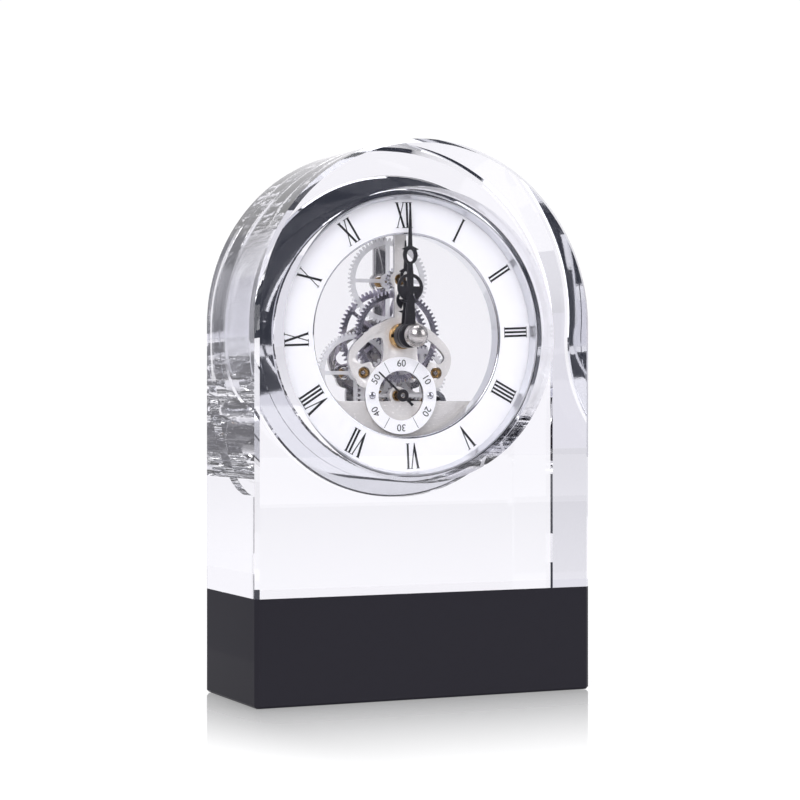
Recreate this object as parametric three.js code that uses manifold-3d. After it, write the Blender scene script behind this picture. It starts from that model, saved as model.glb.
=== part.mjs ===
// Crystal trophy clock: an arch-topped block of optical crystal on a black crystal base,
// with a see-through quartz clock set into a blind bore from behind.
// Millimetres, +Z up, X to the right, the front faces -Y, origin under the middle of the base.
import * as THREE from 'three';
import { mergeVertices } from 'three/addons/utils/BufferGeometryUtils.js';
import Module from 'manifold-3d';

const wasm = await Module();
wasm.setup();

// Block and base
const WIDTH = 127;
const THICKNESS = 50;
const HEIGHT = 193;
const BASE_HEIGHT = 36.5;
const EDGE_CHAMFER = 1.4;
const BASE_FOOT_CHAMFER = 0.8;
const CLOCK_HEIGHT = 125.5;
const FRONT_WALL = 8;
const BORE_RADIUS = 51.5;
const FLANGE_RADIUS = 57;
const FLANGE_THICKNESS = 3.2;
const FLANGE_INSET = 0.5;

// Gap between pieces that touch, and running clearance round what turns
const GAP = 0.3;
const RUN = 0.4;

// Case ring
const CASE_WALL = 1.6;
const CASE_FRONT = 16.3;
const LEDGE_REACH = 2.4;
const LEDGE_THICKNESS = 4.3;

// Dial
const DIAL_FRONT = 19.8;
const DIAL_THICKNESS = 1.9;
const DIAL_OPENING_RADIUS = 35.5;
const SLEEVE_WALL = 1.2;
const SLEEVE_DEPTH = 5.5;
const EDGE_RING_WIDTH = 1.5;
const EDGE_RING_LIP = 0.6;

// Bridges, both cut to one outline
const BRIDGE_THICKNESS = 1.5;
const BRIDGE_SPACING = 16.4;
const BAR_WIDTH = 4.5;
const CENTRE_BOSS_RADIUS = 6.4;
const ARBOR_BOSS_RADIUS = 3.6;
const FOOT_WIDTH = 14;
const FOOT_HEIGHT = 6;
const FOOT_INSET = 1.2;
const PILLAR_RADIUS = 2.5;
const BACK_SEAT_LEFT = -9;
const BUSH_SEAT_WALL = 2;

// Right half of the heart, from the boss round to the foot behind the seconds dial, and its window
const HEART_OUTER = [
  [3, 6.5], [8.2, 4.3], [13, 1.4], [18.2, -3.4], [19.9, -7.4], [19.4, -11.2], [17.4, -14.6], [12.6, -18.6],
];
const HEART_WINDOW = [
  [6.8, -2.2], [10, -2.6], [13.2, -4.9], [16, -7.8], [14.4, -9.6], [11.4, -9.2], [10.2, -11], [7, -8.6],
];

// Seconds dial
const SECONDS_DIAL_RADIUS = 13.7;
const SECONDS_DIAL_OPENING = 8.8;
const SECONDS_DIAL_THICKNESS = 0.6;
const SECONDS_PIN_RADIUS = 0.6;
const SECONDS_PIN_HEAD = 1.25;

// Arbor places, measured from the clock axis: x to the right, z up
const TOP_ARBOR = [0, 20];
const SIDE_ARBOR_X = 14;
const SIDE_ARBOR_Z = -13;
const SECONDS_ARBOR = [0, -21];
const ROTOR_ARBOR = [17.5, -23.7];

// Wheels: teeth and thickness
const CANNON_TEETH = 20;
const MINUTE_WHEEL_TEETH = 60;
const MINUTE_PINION_TEETH = 16;
const HOUR_WHEEL_TEETH = 64;
const SECONDS_PINION_TEETH = 8;
const THIRD_WHEEL_TEETH = 60;
const THIRD_PINION_TEETH = 8;
const CENTRE_WHEEL_TEETH = 64;
const SECONDS_WHEEL_TEETH = 48;
const MIDDLE_PINION_TEETH = 8;
const MIDDLE_WHEEL_TEETH = 40;
const ROTOR_PINION_TEETH = 8;
const WHEEL_THICKNESS = 1;
const PINION_EXTRA = 0.3;
const WHEEL_RIM = 1.3;
const WHEEL_HUB_WALL = 1.4;
const SPOKE_WIDTH = 1.3;

// Planes of the wheels, measured back from the rear face of the front bridge
const HOUR_WHEEL_PLANE = 1.2;
const SECONDS_WHEEL_PLANE = 3.2;
const THIRD_WHEEL_PLANE = 5.5;
const MINUTE_WHEEL_PLANE = 9.0;
const MIDDLE_WHEEL_PLANE = 10.4;
const CENTRE_WHEEL_PLANE = 12.8;

// Arbors, pipes and bushes
const PIVOT_RADIUS = 0.6;
const ARBOR_RADIUS = 1.1;
const BUSH_RADIUS = 1.9;
const MINUTE_SHAFT_RADIUS = 1.2;
const HOUR_PIPE_WALL = 0.9;
const CENTRE_NUT_RADIUS = 4.6;
const CENTRE_NUT_HEIGHT = 2.9;

// Hands
const HAND_THICKNESS = 0.6;
const HAND_BOSS_RADIUS = 4.3;
const NEEDLE_TIP = 0.18;
const MINUTE_HAND_FRONT = 18;
const MINUTE_HAND_LENGTH = 45.4;
const HOUR_HAND_FRONT = 21.9;
const HOUR_HAND_LENGTH = 33.6;
const SECONDS_HAND_LENGTH = 12.4;
const SECONDS_HAND_TAIL = 5.2;
const SECONDS_HAND_REST = 48;
const SECONDS_HAND_LIFT = 1.0;
const SECONDS_HUB_RADIUS = 2.2;
const NUT_BALL_RADIUS = 4.2;
const NUT_BALL_DEPTH = 13.3;
const NUT_SEAT_DEPTH = 1.2;
const MINUTE_BOSS_STEP = 1.4;
const HOUR_BOSS_STEP = 0.9;

// Parts of each hand, with z measured out from its axis
const MINUTE_HAND_FORM = {
  collar: { z: 12.1, halfWidth: 3.5, halfRoot: 2.4, halfTop: 1.5 },
  crescent: { z: 16.9, radius: 4.9, band: 1.1, stem: 1.2 },
  loop: { z: 28.2, halfWidth: 2.75, halfHeight: 3.2, eyeWidth: 1.4, eyeHeight: 2.1, neck: 1.2, needle: 0.8 },
};
const HOUR_HAND_FORM = {
  collar: { z: 8.6, halfWidth: 2.7, halfRoot: 1.9, halfTop: 1.2 },
  crescent: { z: 12.6, radius: 3.5, band: 0.9, stem: 0.9 },
  loop: { z: 21.2, halfWidth: 2.0, halfHeight: 2.6, eyeWidth: 1, eyeHeight: 1.7, neck: 0.9, needle: 0.7 },
};

// Battery, housing and motor
const HOUSING_TOP = -23;
const HOUSING_WALL = 1.6;
const HOUSING_RIM = 1.4;
const BATTERY_RADIUS = 5.25;
const BATTERY_LENGTH = 43.7;
const BATTERY_NUB_RADIUS = 1.9;
const BATTERY_NUB_LENGTH = 0.8;
const BATTERY_CLEARANCE = 0.7;
const BATTERY_DEPTH = 39.3;
const CONTACT_THICKNESS = 0.5;
const BOX_WALL = 1;
const DOOR_HALF_WIDTH = 22.8;
const DOOR_DROP = 5.5;
const BOX_END_CLEARANCE = 1;
const SEAT_WIDTH = 10;
const SEAT_HEIGHT = 8;
const CHIP_SIDE = 5;
const CHIP_HEIGHT = 0.8;
const COVER_THICKNESS = 1.5;
const KNOB_RADIUS = 4.6;
const KNOB_FLUTES = 14;
const KNOB_THICKNESS = 1.5;
const STATOR_THICKNESS = 0.8;
const STATOR_FRONT = 35;
const STATOR_REACH = 3;
const STATOR_RING = 2;
const CORE_THICKNESS = 0.8;
const CORE_HALF_WIDTH = 1;
const COIL_RADIUS = 2.4;
const COIL_LENGTH = 10;
const COIL_X = 28.5;
const COIL_Z = -27.2;
const BOARD_RIGHT = -8;
const BOARD_LENGTH = 26;
const BOARD_DEPTH = 41.5;
const BOARD_THICKNESS = 1;
const CRYSTAL_CAN_RADIUS = 1.5;
const CRYSTAL_CAN_LENGTH = 8;
const CRYSTAL_CAN_INSET = 3;

// Worked-out places; depths are measured back from the front face of the block
const CORNER = WIDTH / 2;
const ARCH_CENTRE = HEIGHT - CORNER;
const BACK_FACE = THICKNESS;
const CASE_RADIUS = BORE_RADIUS - GAP;
const CASE_BORE = CASE_RADIUS - CASE_WALL;
const FLANGE_BACK = BACK_FACE - FLANGE_INSET;
const FLANGE_FRONT = FLANGE_BACK - FLANGE_THICKNESS;
const DIAL_RADIUS = CASE_BORE - GAP;
const DIAL_BACK = DIAL_FRONT + DIAL_THICKNESS;
const LEDGE_FRONT = DIAL_BACK + GAP;
const LEDGE_BACK = LEDGE_FRONT + LEDGE_THICKNESS;
const LEDGE_RADIUS = CASE_BORE - LEDGE_REACH;
const FRONT_BRIDGE = LEDGE_BACK + GAP;
const FRONT_BRIDGE_BACK = FRONT_BRIDGE + BRIDGE_THICKNESS;
const BACK_BRIDGE = FRONT_BRIDGE_BACK + BRIDGE_SPACING;
const BACK_BRIDGE_BACK = BACK_BRIDGE + BRIDGE_THICKNESS;
const SECONDS_DIAL_BACK = FRONT_BRIDGE - GAP;
const SECONDS_DIAL_FRONT = SECONDS_DIAL_BACK - SECONDS_DIAL_THICKNESS;
const HOUSING_FRONT = FRONT_BRIDGE_BACK + GAP;
const HOUSING_INNER = HOUSING_FRONT + HOUSING_WALL;
const COVER_FRONT = BACK_BRIDGE_BACK + 2 * GAP;
const COVER_BACK = COVER_FRONT + COVER_THICKNESS;
const LEFT_ARBOR = [-SIDE_ARBOR_X, SIDE_ARBOR_Z];
const RIGHT_ARBOR = [SIDE_ARBOR_X, SIDE_ARBOR_Z];
const CENTRE = [0, 0];
const HOUR_PIPE_BORE = MINUTE_SHAFT_RADIUS + GAP;
const HOUR_PIPE_RADIUS = HOUR_PIPE_BORE + HOUR_PIPE_WALL;
const FOOT_TOP = CASE_BORE - GAP - FOOT_INSET;
const HOUSING_RADIUS = CASE_BORE - GAP;
const BATTERY_REACH = HOUSING_RADIUS - HOUSING_RIM - BATTERY_CLEARANCE;
const BATTERY_Z = BATTERY_RADIUS - Math.sqrt(BATTERY_REACH ** 2 - (BATTERY_LENGTH / 2) ** 2);
const BOX_TOP = BATTERY_Z + BATTERY_RADIUS + GAP;
const DOOR_BOTTOM = BATTERY_Z - DOOR_DROP;

const distance = (a, b) => Math.hypot(b[0] - a[0], b[1] - a[1]);
const moduleFor = (a, b, teethA, teethB) => (2 * distance(a, b)) / (teethA + teethB);
const MINUTE_MODULE = moduleFor(CENTRE, TOP_ARBOR, CANNON_TEETH, MINUTE_WHEEL_TEETH);
const HOUR_MODULE = moduleFor(CENTRE, TOP_ARBOR, MINUTE_PINION_TEETH, HOUR_WHEEL_TEETH);
const THIRD_MODULE = moduleFor(SECONDS_ARBOR, LEFT_ARBOR, SECONDS_PINION_TEETH, THIRD_WHEEL_TEETH);
const CENTRE_MODULE = moduleFor(CENTRE, LEFT_ARBOR, THIRD_PINION_TEETH, CENTRE_WHEEL_TEETH);
const SECONDS_MODULE = moduleFor(SECONDS_ARBOR, RIGHT_ARBOR, SECONDS_WHEEL_TEETH, MIDDLE_PINION_TEETH);
const MIDDLE_MODULE = moduleFor(RIGHT_ARBOR, ROTOR_ARBOR, MIDDLE_WHEEL_TEETH, ROTOR_PINION_TEETH);

// Solids and booleans

function solidOf(geometry) {
  const bare = geometry.clone();
  bare.deleteAttribute('normal');
  bare.deleteAttribute('uv');
  const merged = mergeVertices(bare, 1e-4);
  const index = merged.index.array;
  const kept = [];
  for (let i = 0; i < index.length; i += 3) {
    const [a, b, c] = [index[i], index[i + 1], index[i + 2]];
    if (a !== b && b !== c && c !== a) {
      kept.push(a, b, c);
    }
  }
  const vertProperties = new Float32Array(merged.attributes.position.array);
  const triVerts = new Uint32Array(kept);
  return new wasm.Manifold(new wasm.Mesh({ numProp: 3, vertProperties, triVerts }));
}

function geometryOf(solid) {
  const mesh = solid.getMesh();
  const geometry = new THREE.BufferGeometry();
  geometry.setAttribute('position', new THREE.BufferAttribute(new Float32Array(mesh.vertProperties), 3));
  geometry.setIndex(new THREE.BufferAttribute(new Uint32Array(mesh.triVerts), 1));
  return geometry;
}

function join(first, ...others) {
  return geometryOf(others.reduce((solid, next) => solid.add(solidOf(next)), solidOf(first)));
}

function cut(first, ...tools) {
  return geometryOf(tools.reduce((solid, next) => solid.subtract(solidOf(next)), solidOf(first)));
}

function common(first, second) {
  return geometryOf(solidOf(first).intersect(solidOf(second)));
}

// A flat shape drawn in x and z, made solid between two depths
function plate(shape, front, back, curveSegments = 12) {
  const options = { depth: back - front, bevelEnabled: false, curveSegments };
  const geometry = new THREE.ExtrudeGeometry(shape, options);
  geometry.rotateX(Math.PI / 2);
  geometry.translate(0, back, 0);
  return geometry;
}

// A closed profile of [radius, depth] points, turned about an axis through a place
function turned(profile, place = CENTRE, segments = 24) {
  const points = profile.map(([radius, depth]) => new THREE.Vector2(radius, depth));
  if (points[0].x > 0) {
    points.push(points[0].clone());
  }
  if (!THREE.ShapeUtils.isClockWise(points)) {
    points.reverse();
  }
  const geometry = new THREE.LatheGeometry(points.reverse(), segments);
  geometry.translate(place[0], 0, place[1]);
  return geometry;
}

function rod(radius, front, back, place = CENTRE, segments = 16) {
  return turned([[0, front], [radius, front], [radius, back], [0, back]], place, segments);
}

function ring(inner, outer, front, back, place = CENTRE, segments = 24) {
  return turned([[inner, front], [outer, front], [outer, back], [inner, back]], place, segments);
}

function block(xMin, xMax, zMin, zMax, front, back) {
  const geometry = new THREE.BoxGeometry(xMax - xMin, back - front, zMax - zMin);
  geometry.translate((xMin + xMax) / 2, (front + back) / 2, (zMin + zMax) / 2);
  return geometry;
}

function polygon(points) {
  return new THREE.Shape(points.map(([x, z]) => new THREE.Vector2(x, z)));
}

function disc(x, z, radius) {
  const shape = new THREE.Shape();
  shape.absarc(x, z, radius, 0, 2 * Math.PI, false);
  return shape;
}

// Wheels and pinions

// Corners of one tooth: height above the pitch circle in modules, and share of the angular pitch
const WHEEL_TOOTH = [[-1.8, -0.5], [0.95, -0.1], [0.95, 0.1]];
const PINION_LEAF = [[-1.45, -0.15], [0.8, -0.1], [0.8, 0.1], [-1.45, 0.15]];

function toothedShape(teeth, module, phase, tooth) {
  const pitch = (2 * Math.PI) / teeth;
  const pitchRadius = (module * teeth) / 2;
  const points = [];
  for (let k = 0; k < teeth; k += 1) {
    for (const [height, share] of tooth) {
      const radius = pitchRadius + height * module;
      const angle = phase + (k + share) * pitch;
      points.push([radius * Math.cos(angle), radius * Math.sin(angle)]);
    }
  }
  return { shape: polygon(points), root: pitchRadius + tooth[0][0] * module };
}

// Spoke windows between a hub and a rim
function spokeWindows(shape, inner, outer, spokes, spokeWidth) {
  for (let k = 0; k < spokes; k += 1) {
    const start = (2 * Math.PI * k) / spokes;
    const end = (2 * Math.PI * (k + 1)) / spokes;
    const innerTurn = Math.asin(spokeWidth / 2 / inner);
    const outerTurn = Math.asin(spokeWidth / 2 / outer);
    const hole = new THREE.Path();
    hole.absarc(0, 0, outer, start + outerTurn, end - outerTurn, false);
    hole.absarc(0, 0, inner, end - innerTurn, start + innerTurn, true);
    hole.closePath();
    shape.holes.push(hole);
  }
}

function wheel({ teeth, module, phase, front, bore, place, spokes }) {
  const { shape, root } = toothedShape(teeth, module, phase, WHEEL_TOOTH);
  spokeWindows(shape, bore + WHEEL_HUB_WALL, root - WHEEL_RIM, spokes, SPOKE_WIDTH);
  const centreHole = new THREE.Path();
  centreHole.absarc(0, 0, bore, 0, 2 * Math.PI, true);
  shape.holes.push(centreHole);
  const geometry = plate(shape, front, front + WHEEL_THICKNESS, 3);
  geometry.translate(place[0], 0, place[1]);
  return geometry;
}

function pinion({ teeth, module, phase, front, back, place, tooth = PINION_LEAF }) {
  const geometry = plate(toothedShape(teeth, module, phase, tooth).shape, front, back);
  geometry.translate(place[0], 0, place[1]);
  return geometry;
}

// Phases that put a tooth of the first gear in a gap of the second on their line of centres
function meshed(first, second, secondTeeth) {
  const line = Math.atan2(second[1] - first[1], second[0] - first[0]);
  return [line, line + Math.PI + Math.PI / secondTeeth];
}

const plane = (offset) => FRONT_BRIDGE_BACK + offset;

// Block and base

function archOutline(bottom) {
  const shape = new THREE.Shape();
  shape.moveTo(-CORNER, bottom);
  shape.lineTo(CORNER, bottom);
  shape.lineTo(CORNER, ARCH_CENTRE);
  shape.absarc(0, ARCH_CENTRE, CORNER, 0, Math.PI, false);
  shape.closePath();
  return shape;
}

// An upright solid in x and z whose front and back edges are chamfered
function chamferedSlab(outline) {
  const geometry = new THREE.ExtrudeGeometry(outline, {
    depth: THICKNESS - 2 * EDGE_CHAMFER,
    bevelEnabled: true,
    bevelThickness: EDGE_CHAMFER,
    bevelSize: EDGE_CHAMFER,
    bevelOffset: -EDGE_CHAMFER,
    bevelSegments: 1,
    curveSegments: 32,
  });
  geometry.rotateX(Math.PI / 2);
  geometry.translate(0, THICKNESS - EDGE_CHAMFER, 0);
  return geometry;
}

function crystalBlock() {
  const slab = chamferedSlab(archOutline(BASE_HEIGHT - 10));
  const below = block(-WIDTH, WIDTH, BASE_HEIGHT - 20, BASE_HEIGHT, -THICKNESS, 2 * THICKNESS);
  const axis = [0, CLOCK_HEIGHT];
  const bore = rod(BORE_RADIUS, FRONT_WALL, BACK_FACE + 1, axis, 64);
  const recess = rod(FLANGE_RADIUS + GAP, FLANGE_FRONT - GAP, BACK_FACE + 1, axis, 64);
  return cut(slab, below, bore, recess);
}

function baseBlock() {
  const c = EDGE_CHAMFER;
  const foot = BASE_FOOT_CHAMFER;
  const section = (inset) => [
    [-CORNER + inset, c], [-CORNER + c, inset], [CORNER - c, inset], [CORNER - inset, c],
    [CORNER - inset, THICKNESS - c], [CORNER - c, THICKNESS - inset],
    [-CORNER + c, THICKNESS - inset], [-CORNER + inset, THICKNESS - c],
  ];
  const levels = [[foot, 0], [0, foot], [0, BASE_HEIGHT]];
  const corners = levels.flatMap(([inset, z]) => section(inset).map(([x, y]) => [x, y, z]));
  const faces = [];
  for (let level = 0; level < 2; level += 1) {
    for (let k = 0; k < 8; k += 1) {
      const a = level * 8 + k;
      const b = level * 8 + ((k + 1) % 8);
      faces.push(a, b, b + 8, a, b + 8, a + 8);
    }
  }
  for (let k = 1; k < 7; k += 1) {
    faces.push(0, k + 1, k);
    faces.push(16, 16 + k, 17 + k);
  }
  const geometry = new THREE.BufferGeometry();
  geometry.setAttribute('position', new THREE.BufferAttribute(new Float32Array(corners.flat()), 3));
  geometry.setIndex(faces);
  return geometry;
}

// Case and dial

function caseRing() {
  return turned([
    [CASE_BORE, CASE_FRONT], [CASE_RADIUS, CASE_FRONT], [CASE_RADIUS, FLANGE_FRONT],
    [FLANGE_RADIUS - 0.6, FLANGE_FRONT], [FLANGE_RADIUS, FLANGE_FRONT + 0.6], [FLANGE_RADIUS, FLANGE_BACK],
    [CASE_BORE, FLANGE_BACK], [CASE_BORE, LEDGE_BACK], [LEDGE_RADIUS, LEDGE_BACK],
    [LEDGE_RADIUS, LEDGE_FRONT], [CASE_BORE, LEDGE_FRONT],
  ], CENTRE, 48);
}

function dialEdgeRing() {
  const back = DIAL_FRONT - GAP;
  return turned([
    [DIAL_RADIUS - EDGE_RING_LIP, CASE_FRONT], [DIAL_RADIUS, CASE_FRONT], [DIAL_RADIUS, back],
    [DIAL_RADIUS - EDGE_RING_WIDTH, back],
  ], CENTRE, 48);
}

function chapterRing() {
  const sleeve = DIAL_OPENING_RADIUS + SLEEVE_WALL;
  const sleeveBack = DIAL_FRONT + SLEEVE_DEPTH;
  const round = 0.35;
  return turned([
    [DIAL_OPENING_RADIUS + round, DIAL_FRONT], [DIAL_RADIUS, DIAL_FRONT], [DIAL_RADIUS, DIAL_BACK],
    [sleeve, DIAL_BACK], [sleeve, sleeveBack], [DIAL_OPENING_RADIUS, sleeveBack],
    [DIAL_OPENING_RADIUS, DIAL_FRONT + round],
  ], CENTRE, 48);
}

function secondsDial() {
  const front = SECONDS_DIAL_FRONT;
  const back = SECONDS_DIAL_BACK;
  const dial = ring(SECONDS_DIAL_OPENING, SECONDS_DIAL_RADIUS, front, back, SECONDS_ARBOR, 32);
  return cut(dial, ...pinPlaces().map((place) => pinHole(place, front, back)));
}

function pinPlaces() {
  const reach = (SECONDS_DIAL_OPENING + SECONDS_DIAL_RADIUS) / 2;
  return [-reach, reach].map((x) => [x, SECONDS_ARBOR[1]]);
}

function pinHole(place, front, back) {
  return rod(SECONDS_PIN_RADIUS + GAP, front - 1, back + 1, place, 8);
}

function secondsDialPin(place) {
  const headBack = SECONDS_DIAL_FRONT - GAP;
  return turned([
    [0, headBack - 0.4], [SECONDS_PIN_HEAD - 0.3, headBack - 0.4], [SECONDS_PIN_HEAD, headBack],
    [SECONDS_PIN_RADIUS, headBack], [SECONDS_PIN_RADIUS, FRONT_BRIDGE_BACK], [0, FRONT_BRIDGE_BACK],
  ], place, 8);
}

// Bridges

const mirrored = (points) => points.map(([x, z]) => [-x, z]).reverse();

function smoothShape(points) {
  const corners = points.map(([x, z]) => new THREE.Vector3(x, z, 0));
  const curve = new THREE.CatmullRomCurve3(corners, true, 'catmullrom', 0.5);
  const spaced = curve.getSpacedPoints(2 * points.length).slice(0, -1);
  return polygon(spaced.map((p) => [p.x, p.y]));
}

function bridge(front, extras, holes) {
  const back = front + BRIDGE_THICKNESS;
  const heart = smoothShape([...HEART_OUTER, ...mirrored(HEART_OUTER)]);
  const half = BAR_WIDTH / 2;
  const bar = polygon([[-half, 0], [half, 0], [half, FOOT_TOP], [-half, FOOT_TOP]]);
  const foot = common(
    block(-FOOT_WIDTH / 2, FOOT_WIDTH / 2, FOOT_TOP - FOOT_HEIGHT, CASE_BORE, front, back),
    rod(CASE_BORE - GAP, front - 1, back + 1, CENTRE, 48),
  );
  const pieces = [
    plate(bar, front, back),
    foot,
    rod(CENTRE_BOSS_RADIUS, front, back, CENTRE, 20),
    rod(ARBOR_BOSS_RADIUS, front, back, TOP_ARBOR, 16),
    rod(SECONDS_DIAL_RADIUS - 0.5, front, back, SECONDS_ARBOR, 28),
    ...extras,
  ];
  const openings = [HEART_WINDOW, mirrored(HEART_WINDOW)].map(smoothShape);
  const windows = openings.map((shape) => plate(shape, front - 1, back + 1));
  return cut(join(plate(heart, front, back), ...pieces), ...windows, ...holes);
}

function bushHole(place, front) {
  return rod(BUSH_RADIUS + GAP, front - 1, front + BRIDGE_THICKNESS + 1, place, 12);
}

function frontBridge() {
  const front = FRONT_BRIDGE;
  const back = FRONT_BRIDGE_BACK;
  const holes = [
    rod(HOUR_PIPE_RADIUS + RUN, front - 1, back + 1, CENTRE, 16),
    ...[TOP_ARBOR, LEFT_ARBOR, RIGHT_ARBOR].map((place) => bushHole(place, front)),
    rod(SECONDS_DIAL_OPENING + GAP, front - 1, back + 1, SECONDS_ARBOR, 28),
    ...pinPlaces().map((place) => pinHole(place, front, back)),
  ];
  return bridge(front, [], holes);
}

function backBridge() {
  const front = BACK_BRIDGE;
  const back = BACK_BRIDGE_BACK;
  const seatEdge = BUSH_RADIUS + BUSH_SEAT_WALL;
  const [seatRight, seatTop] = ROTOR_ARBOR.map((place) => place + seatEdge);
  const seat = block(BACK_SEAT_LEFT, seatRight, BOX_TOP + BOX_WALL, seatTop, front, back);
  const arbors = [CENTRE, TOP_ARBOR, LEFT_ARBOR, RIGHT_ARBOR, SECONDS_ARBOR, ROTOR_ARBOR];
  const holes = arbors.map((place) => bushHole(place, front));
  const below = block(-CASE_BORE, CASE_BORE, -CASE_BORE, BOX_TOP + BOX_WALL, front - 1, back + 1);
  return bridge(front, [seat], [...holes, below]);
}

// Arbors run in brass bushes pressed into the bridges
function bush(place, front, thickness) {
  return ring(PIVOT_RADIUS + GAP, BUSH_RADIUS, front, front + thickness, place, 12);
}

function centreNut() {
  const back = FRONT_BRIDGE - GAP;
  const front = back - CENTRE_NUT_HEIGHT;
  return turned([
    [HOUR_PIPE_RADIUS + RUN, front], [CENTRE_NUT_RADIUS - 0.5, front], [CENTRE_NUT_RADIUS, front + 0.5],
    [CENTRE_NUT_RADIUS, back], [HOUR_PIPE_RADIUS + RUN, back],
  ], CENTRE, 20);
}

// Motion work: cannon pinion, minute wheel, hour wheel

const [CANNON_PHASE, MINUTE_WHEEL_PHASE] = meshed(CENTRE, TOP_ARBOR, MINUTE_WHEEL_TEETH);
const [MINUTE_PINION_PHASE, HOUR_WHEEL_PHASE] = meshed(TOP_ARBOR, CENTRE, HOUR_WHEEL_TEETH);

function minuteArbor() {
  const front = plane(MINUTE_WHEEL_PLANE) - PINION_EXTRA;
  const back = plane(MINUTE_WHEEL_PLANE) + WHEEL_THICKNESS + PINION_EXTRA;
  const knobSeat = COVER_BACK + GAP + KNOB_THICKNESS - 0.3;
  const tip = NUT_BALL_DEPTH + NUT_BALL_RADIUS - NUT_SEAT_DEPTH;
  const shaft = turned([
    [0, tip], [MINUTE_SHAFT_RADIUS, tip], [MINUTE_SHAFT_RADIUS, BACK_BRIDGE - GAP],
    [PIVOT_RADIUS, BACK_BRIDGE - GAP], [PIVOT_RADIUS, knobSeat], [0, knobSeat],
  ], CENTRE, 10);
  const leaves = pinion({
    teeth: CANNON_TEETH, module: MINUTE_MODULE, phase: CANNON_PHASE,
    front, back, place: CENTRE, tooth: WHEEL_TOOTH,
  });
  return join(shaft, leaves);
}

function minuteWheel() {
  return wheel({
    teeth: MINUTE_WHEEL_TEETH, module: MINUTE_MODULE, phase: MINUTE_WHEEL_PHASE,
    front: plane(MINUTE_WHEEL_PLANE), bore: ARBOR_RADIUS + GAP, place: TOP_ARBOR, spokes: 4,
  });
}

function arborBody(place, seatFront) {
  return turned([
    [0, FRONT_BRIDGE], [PIVOT_RADIUS, FRONT_BRIDGE], [PIVOT_RADIUS, seatFront], [ARBOR_RADIUS, seatFront],
    [ARBOR_RADIUS, BACK_BRIDGE - GAP], [PIVOT_RADIUS, BACK_BRIDGE - GAP], [PIVOT_RADIUS, BACK_BRIDGE_BACK],
    [0, BACK_BRIDGE_BACK],
  ], place, 10);
}

function minutePinion() {
  const front = plane(HOUR_WHEEL_PLANE) - PINION_EXTRA;
  const back = plane(HOUR_WHEEL_PLANE) + WHEEL_THICKNESS + PINION_EXTRA;
  const leaves = pinion({
    teeth: MINUTE_PINION_TEETH, module: HOUR_MODULE, phase: MINUTE_PINION_PHASE,
    front, back, place: TOP_ARBOR, tooth: WHEEL_TOOTH,
  });
  return join(arborBody(TOP_ARBOR, FRONT_BRIDGE_BACK + 2 * GAP), leaves);
}

function hourWheel() {
  const front = plane(HOUR_WHEEL_PLANE);
  const disk = wheel({
    teeth: HOUR_WHEEL_TEETH, module: HOUR_MODULE, phase: HOUR_WHEEL_PHASE,
    front, bore: HOUR_PIPE_BORE, place: CENTRE, spokes: 4,
  });
  const pipeFront = HOUR_HAND_FRONT - 1.2;
  const pipeBack = front + WHEEL_THICKNESS + 1;
  const pipe = ring(HOUR_PIPE_BORE, HOUR_PIPE_RADIUS, pipeFront, pipeBack, CENTRE, 14);
  return join(disk, pipe);
}

// Going train: seconds pinion, third wheel and pinion, centre wheel

const [SECONDS_PINION_PHASE, THIRD_WHEEL_PHASE] = meshed(SECONDS_ARBOR, LEFT_ARBOR, THIRD_WHEEL_TEETH);
const [THIRD_PINION_PHASE, CENTRE_WHEEL_PHASE] = meshed(LEFT_ARBOR, CENTRE, CENTRE_WHEEL_TEETH);
const [MIDDLE_PINION_PHASE, SECONDS_WHEEL_PHASE] = meshed(RIGHT_ARBOR, SECONDS_ARBOR, SECONDS_WHEEL_TEETH);
const [ROTOR_PINION_PHASE, MIDDLE_WHEEL_PHASE] = meshed(ROTOR_ARBOR, RIGHT_ARBOR, MIDDLE_WHEEL_TEETH);

function secondsArbor() {
  const front = plane(THIRD_WHEEL_PLANE) - PINION_EXTRA;
  const back = plane(THIRD_WHEEL_PLANE) + WHEEL_THICKNESS + PINION_EXTRA;
  const tip = SECONDS_DIAL_FRONT - SECONDS_HAND_LIFT - HAND_THICKNESS;
  const step = HOUSING_INNER + GAP;
  const shaft = turned([
    [0, tip], [PIVOT_RADIUS, tip], [PIVOT_RADIUS, step], [ARBOR_RADIUS, step],
    [ARBOR_RADIUS, BACK_BRIDGE - GAP],
    [PIVOT_RADIUS, BACK_BRIDGE - GAP], [PIVOT_RADIUS, BACK_BRIDGE_BACK], [0, BACK_BRIDGE_BACK],
  ], SECONDS_ARBOR, 10);
  const leaves = pinion({
    teeth: SECONDS_PINION_TEETH, module: THIRD_MODULE, phase: SECONDS_PINION_PHASE,
    front, back, place: SECONDS_ARBOR,
  });
  return join(shaft, leaves);
}

function secondsWheel() {
  return wheel({
    teeth: SECONDS_WHEEL_TEETH, module: SECONDS_MODULE, phase: SECONDS_WHEEL_PHASE,
    front: plane(SECONDS_WHEEL_PLANE), bore: ARBOR_RADIUS + GAP, place: SECONDS_ARBOR, spokes: 4,
  });
}

function thirdPinion() {
  const front = plane(CENTRE_WHEEL_PLANE) - PINION_EXTRA;
  const back = plane(CENTRE_WHEEL_PLANE) + WHEEL_THICKNESS + PINION_EXTRA;
  const leaves = pinion({
    teeth: THIRD_PINION_TEETH, module: CENTRE_MODULE, phase: THIRD_PINION_PHASE,
    front, back, place: LEFT_ARBOR,
  });
  return join(arborBody(LEFT_ARBOR, FRONT_BRIDGE_BACK + 2 * GAP), leaves);
}

function thirdWheel() {
  return wheel({
    teeth: THIRD_WHEEL_TEETH, module: THIRD_MODULE, phase: THIRD_WHEEL_PHASE,
    front: plane(THIRD_WHEEL_PLANE), bore: ARBOR_RADIUS + GAP, place: LEFT_ARBOR, spokes: 4,
  });
}

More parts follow.
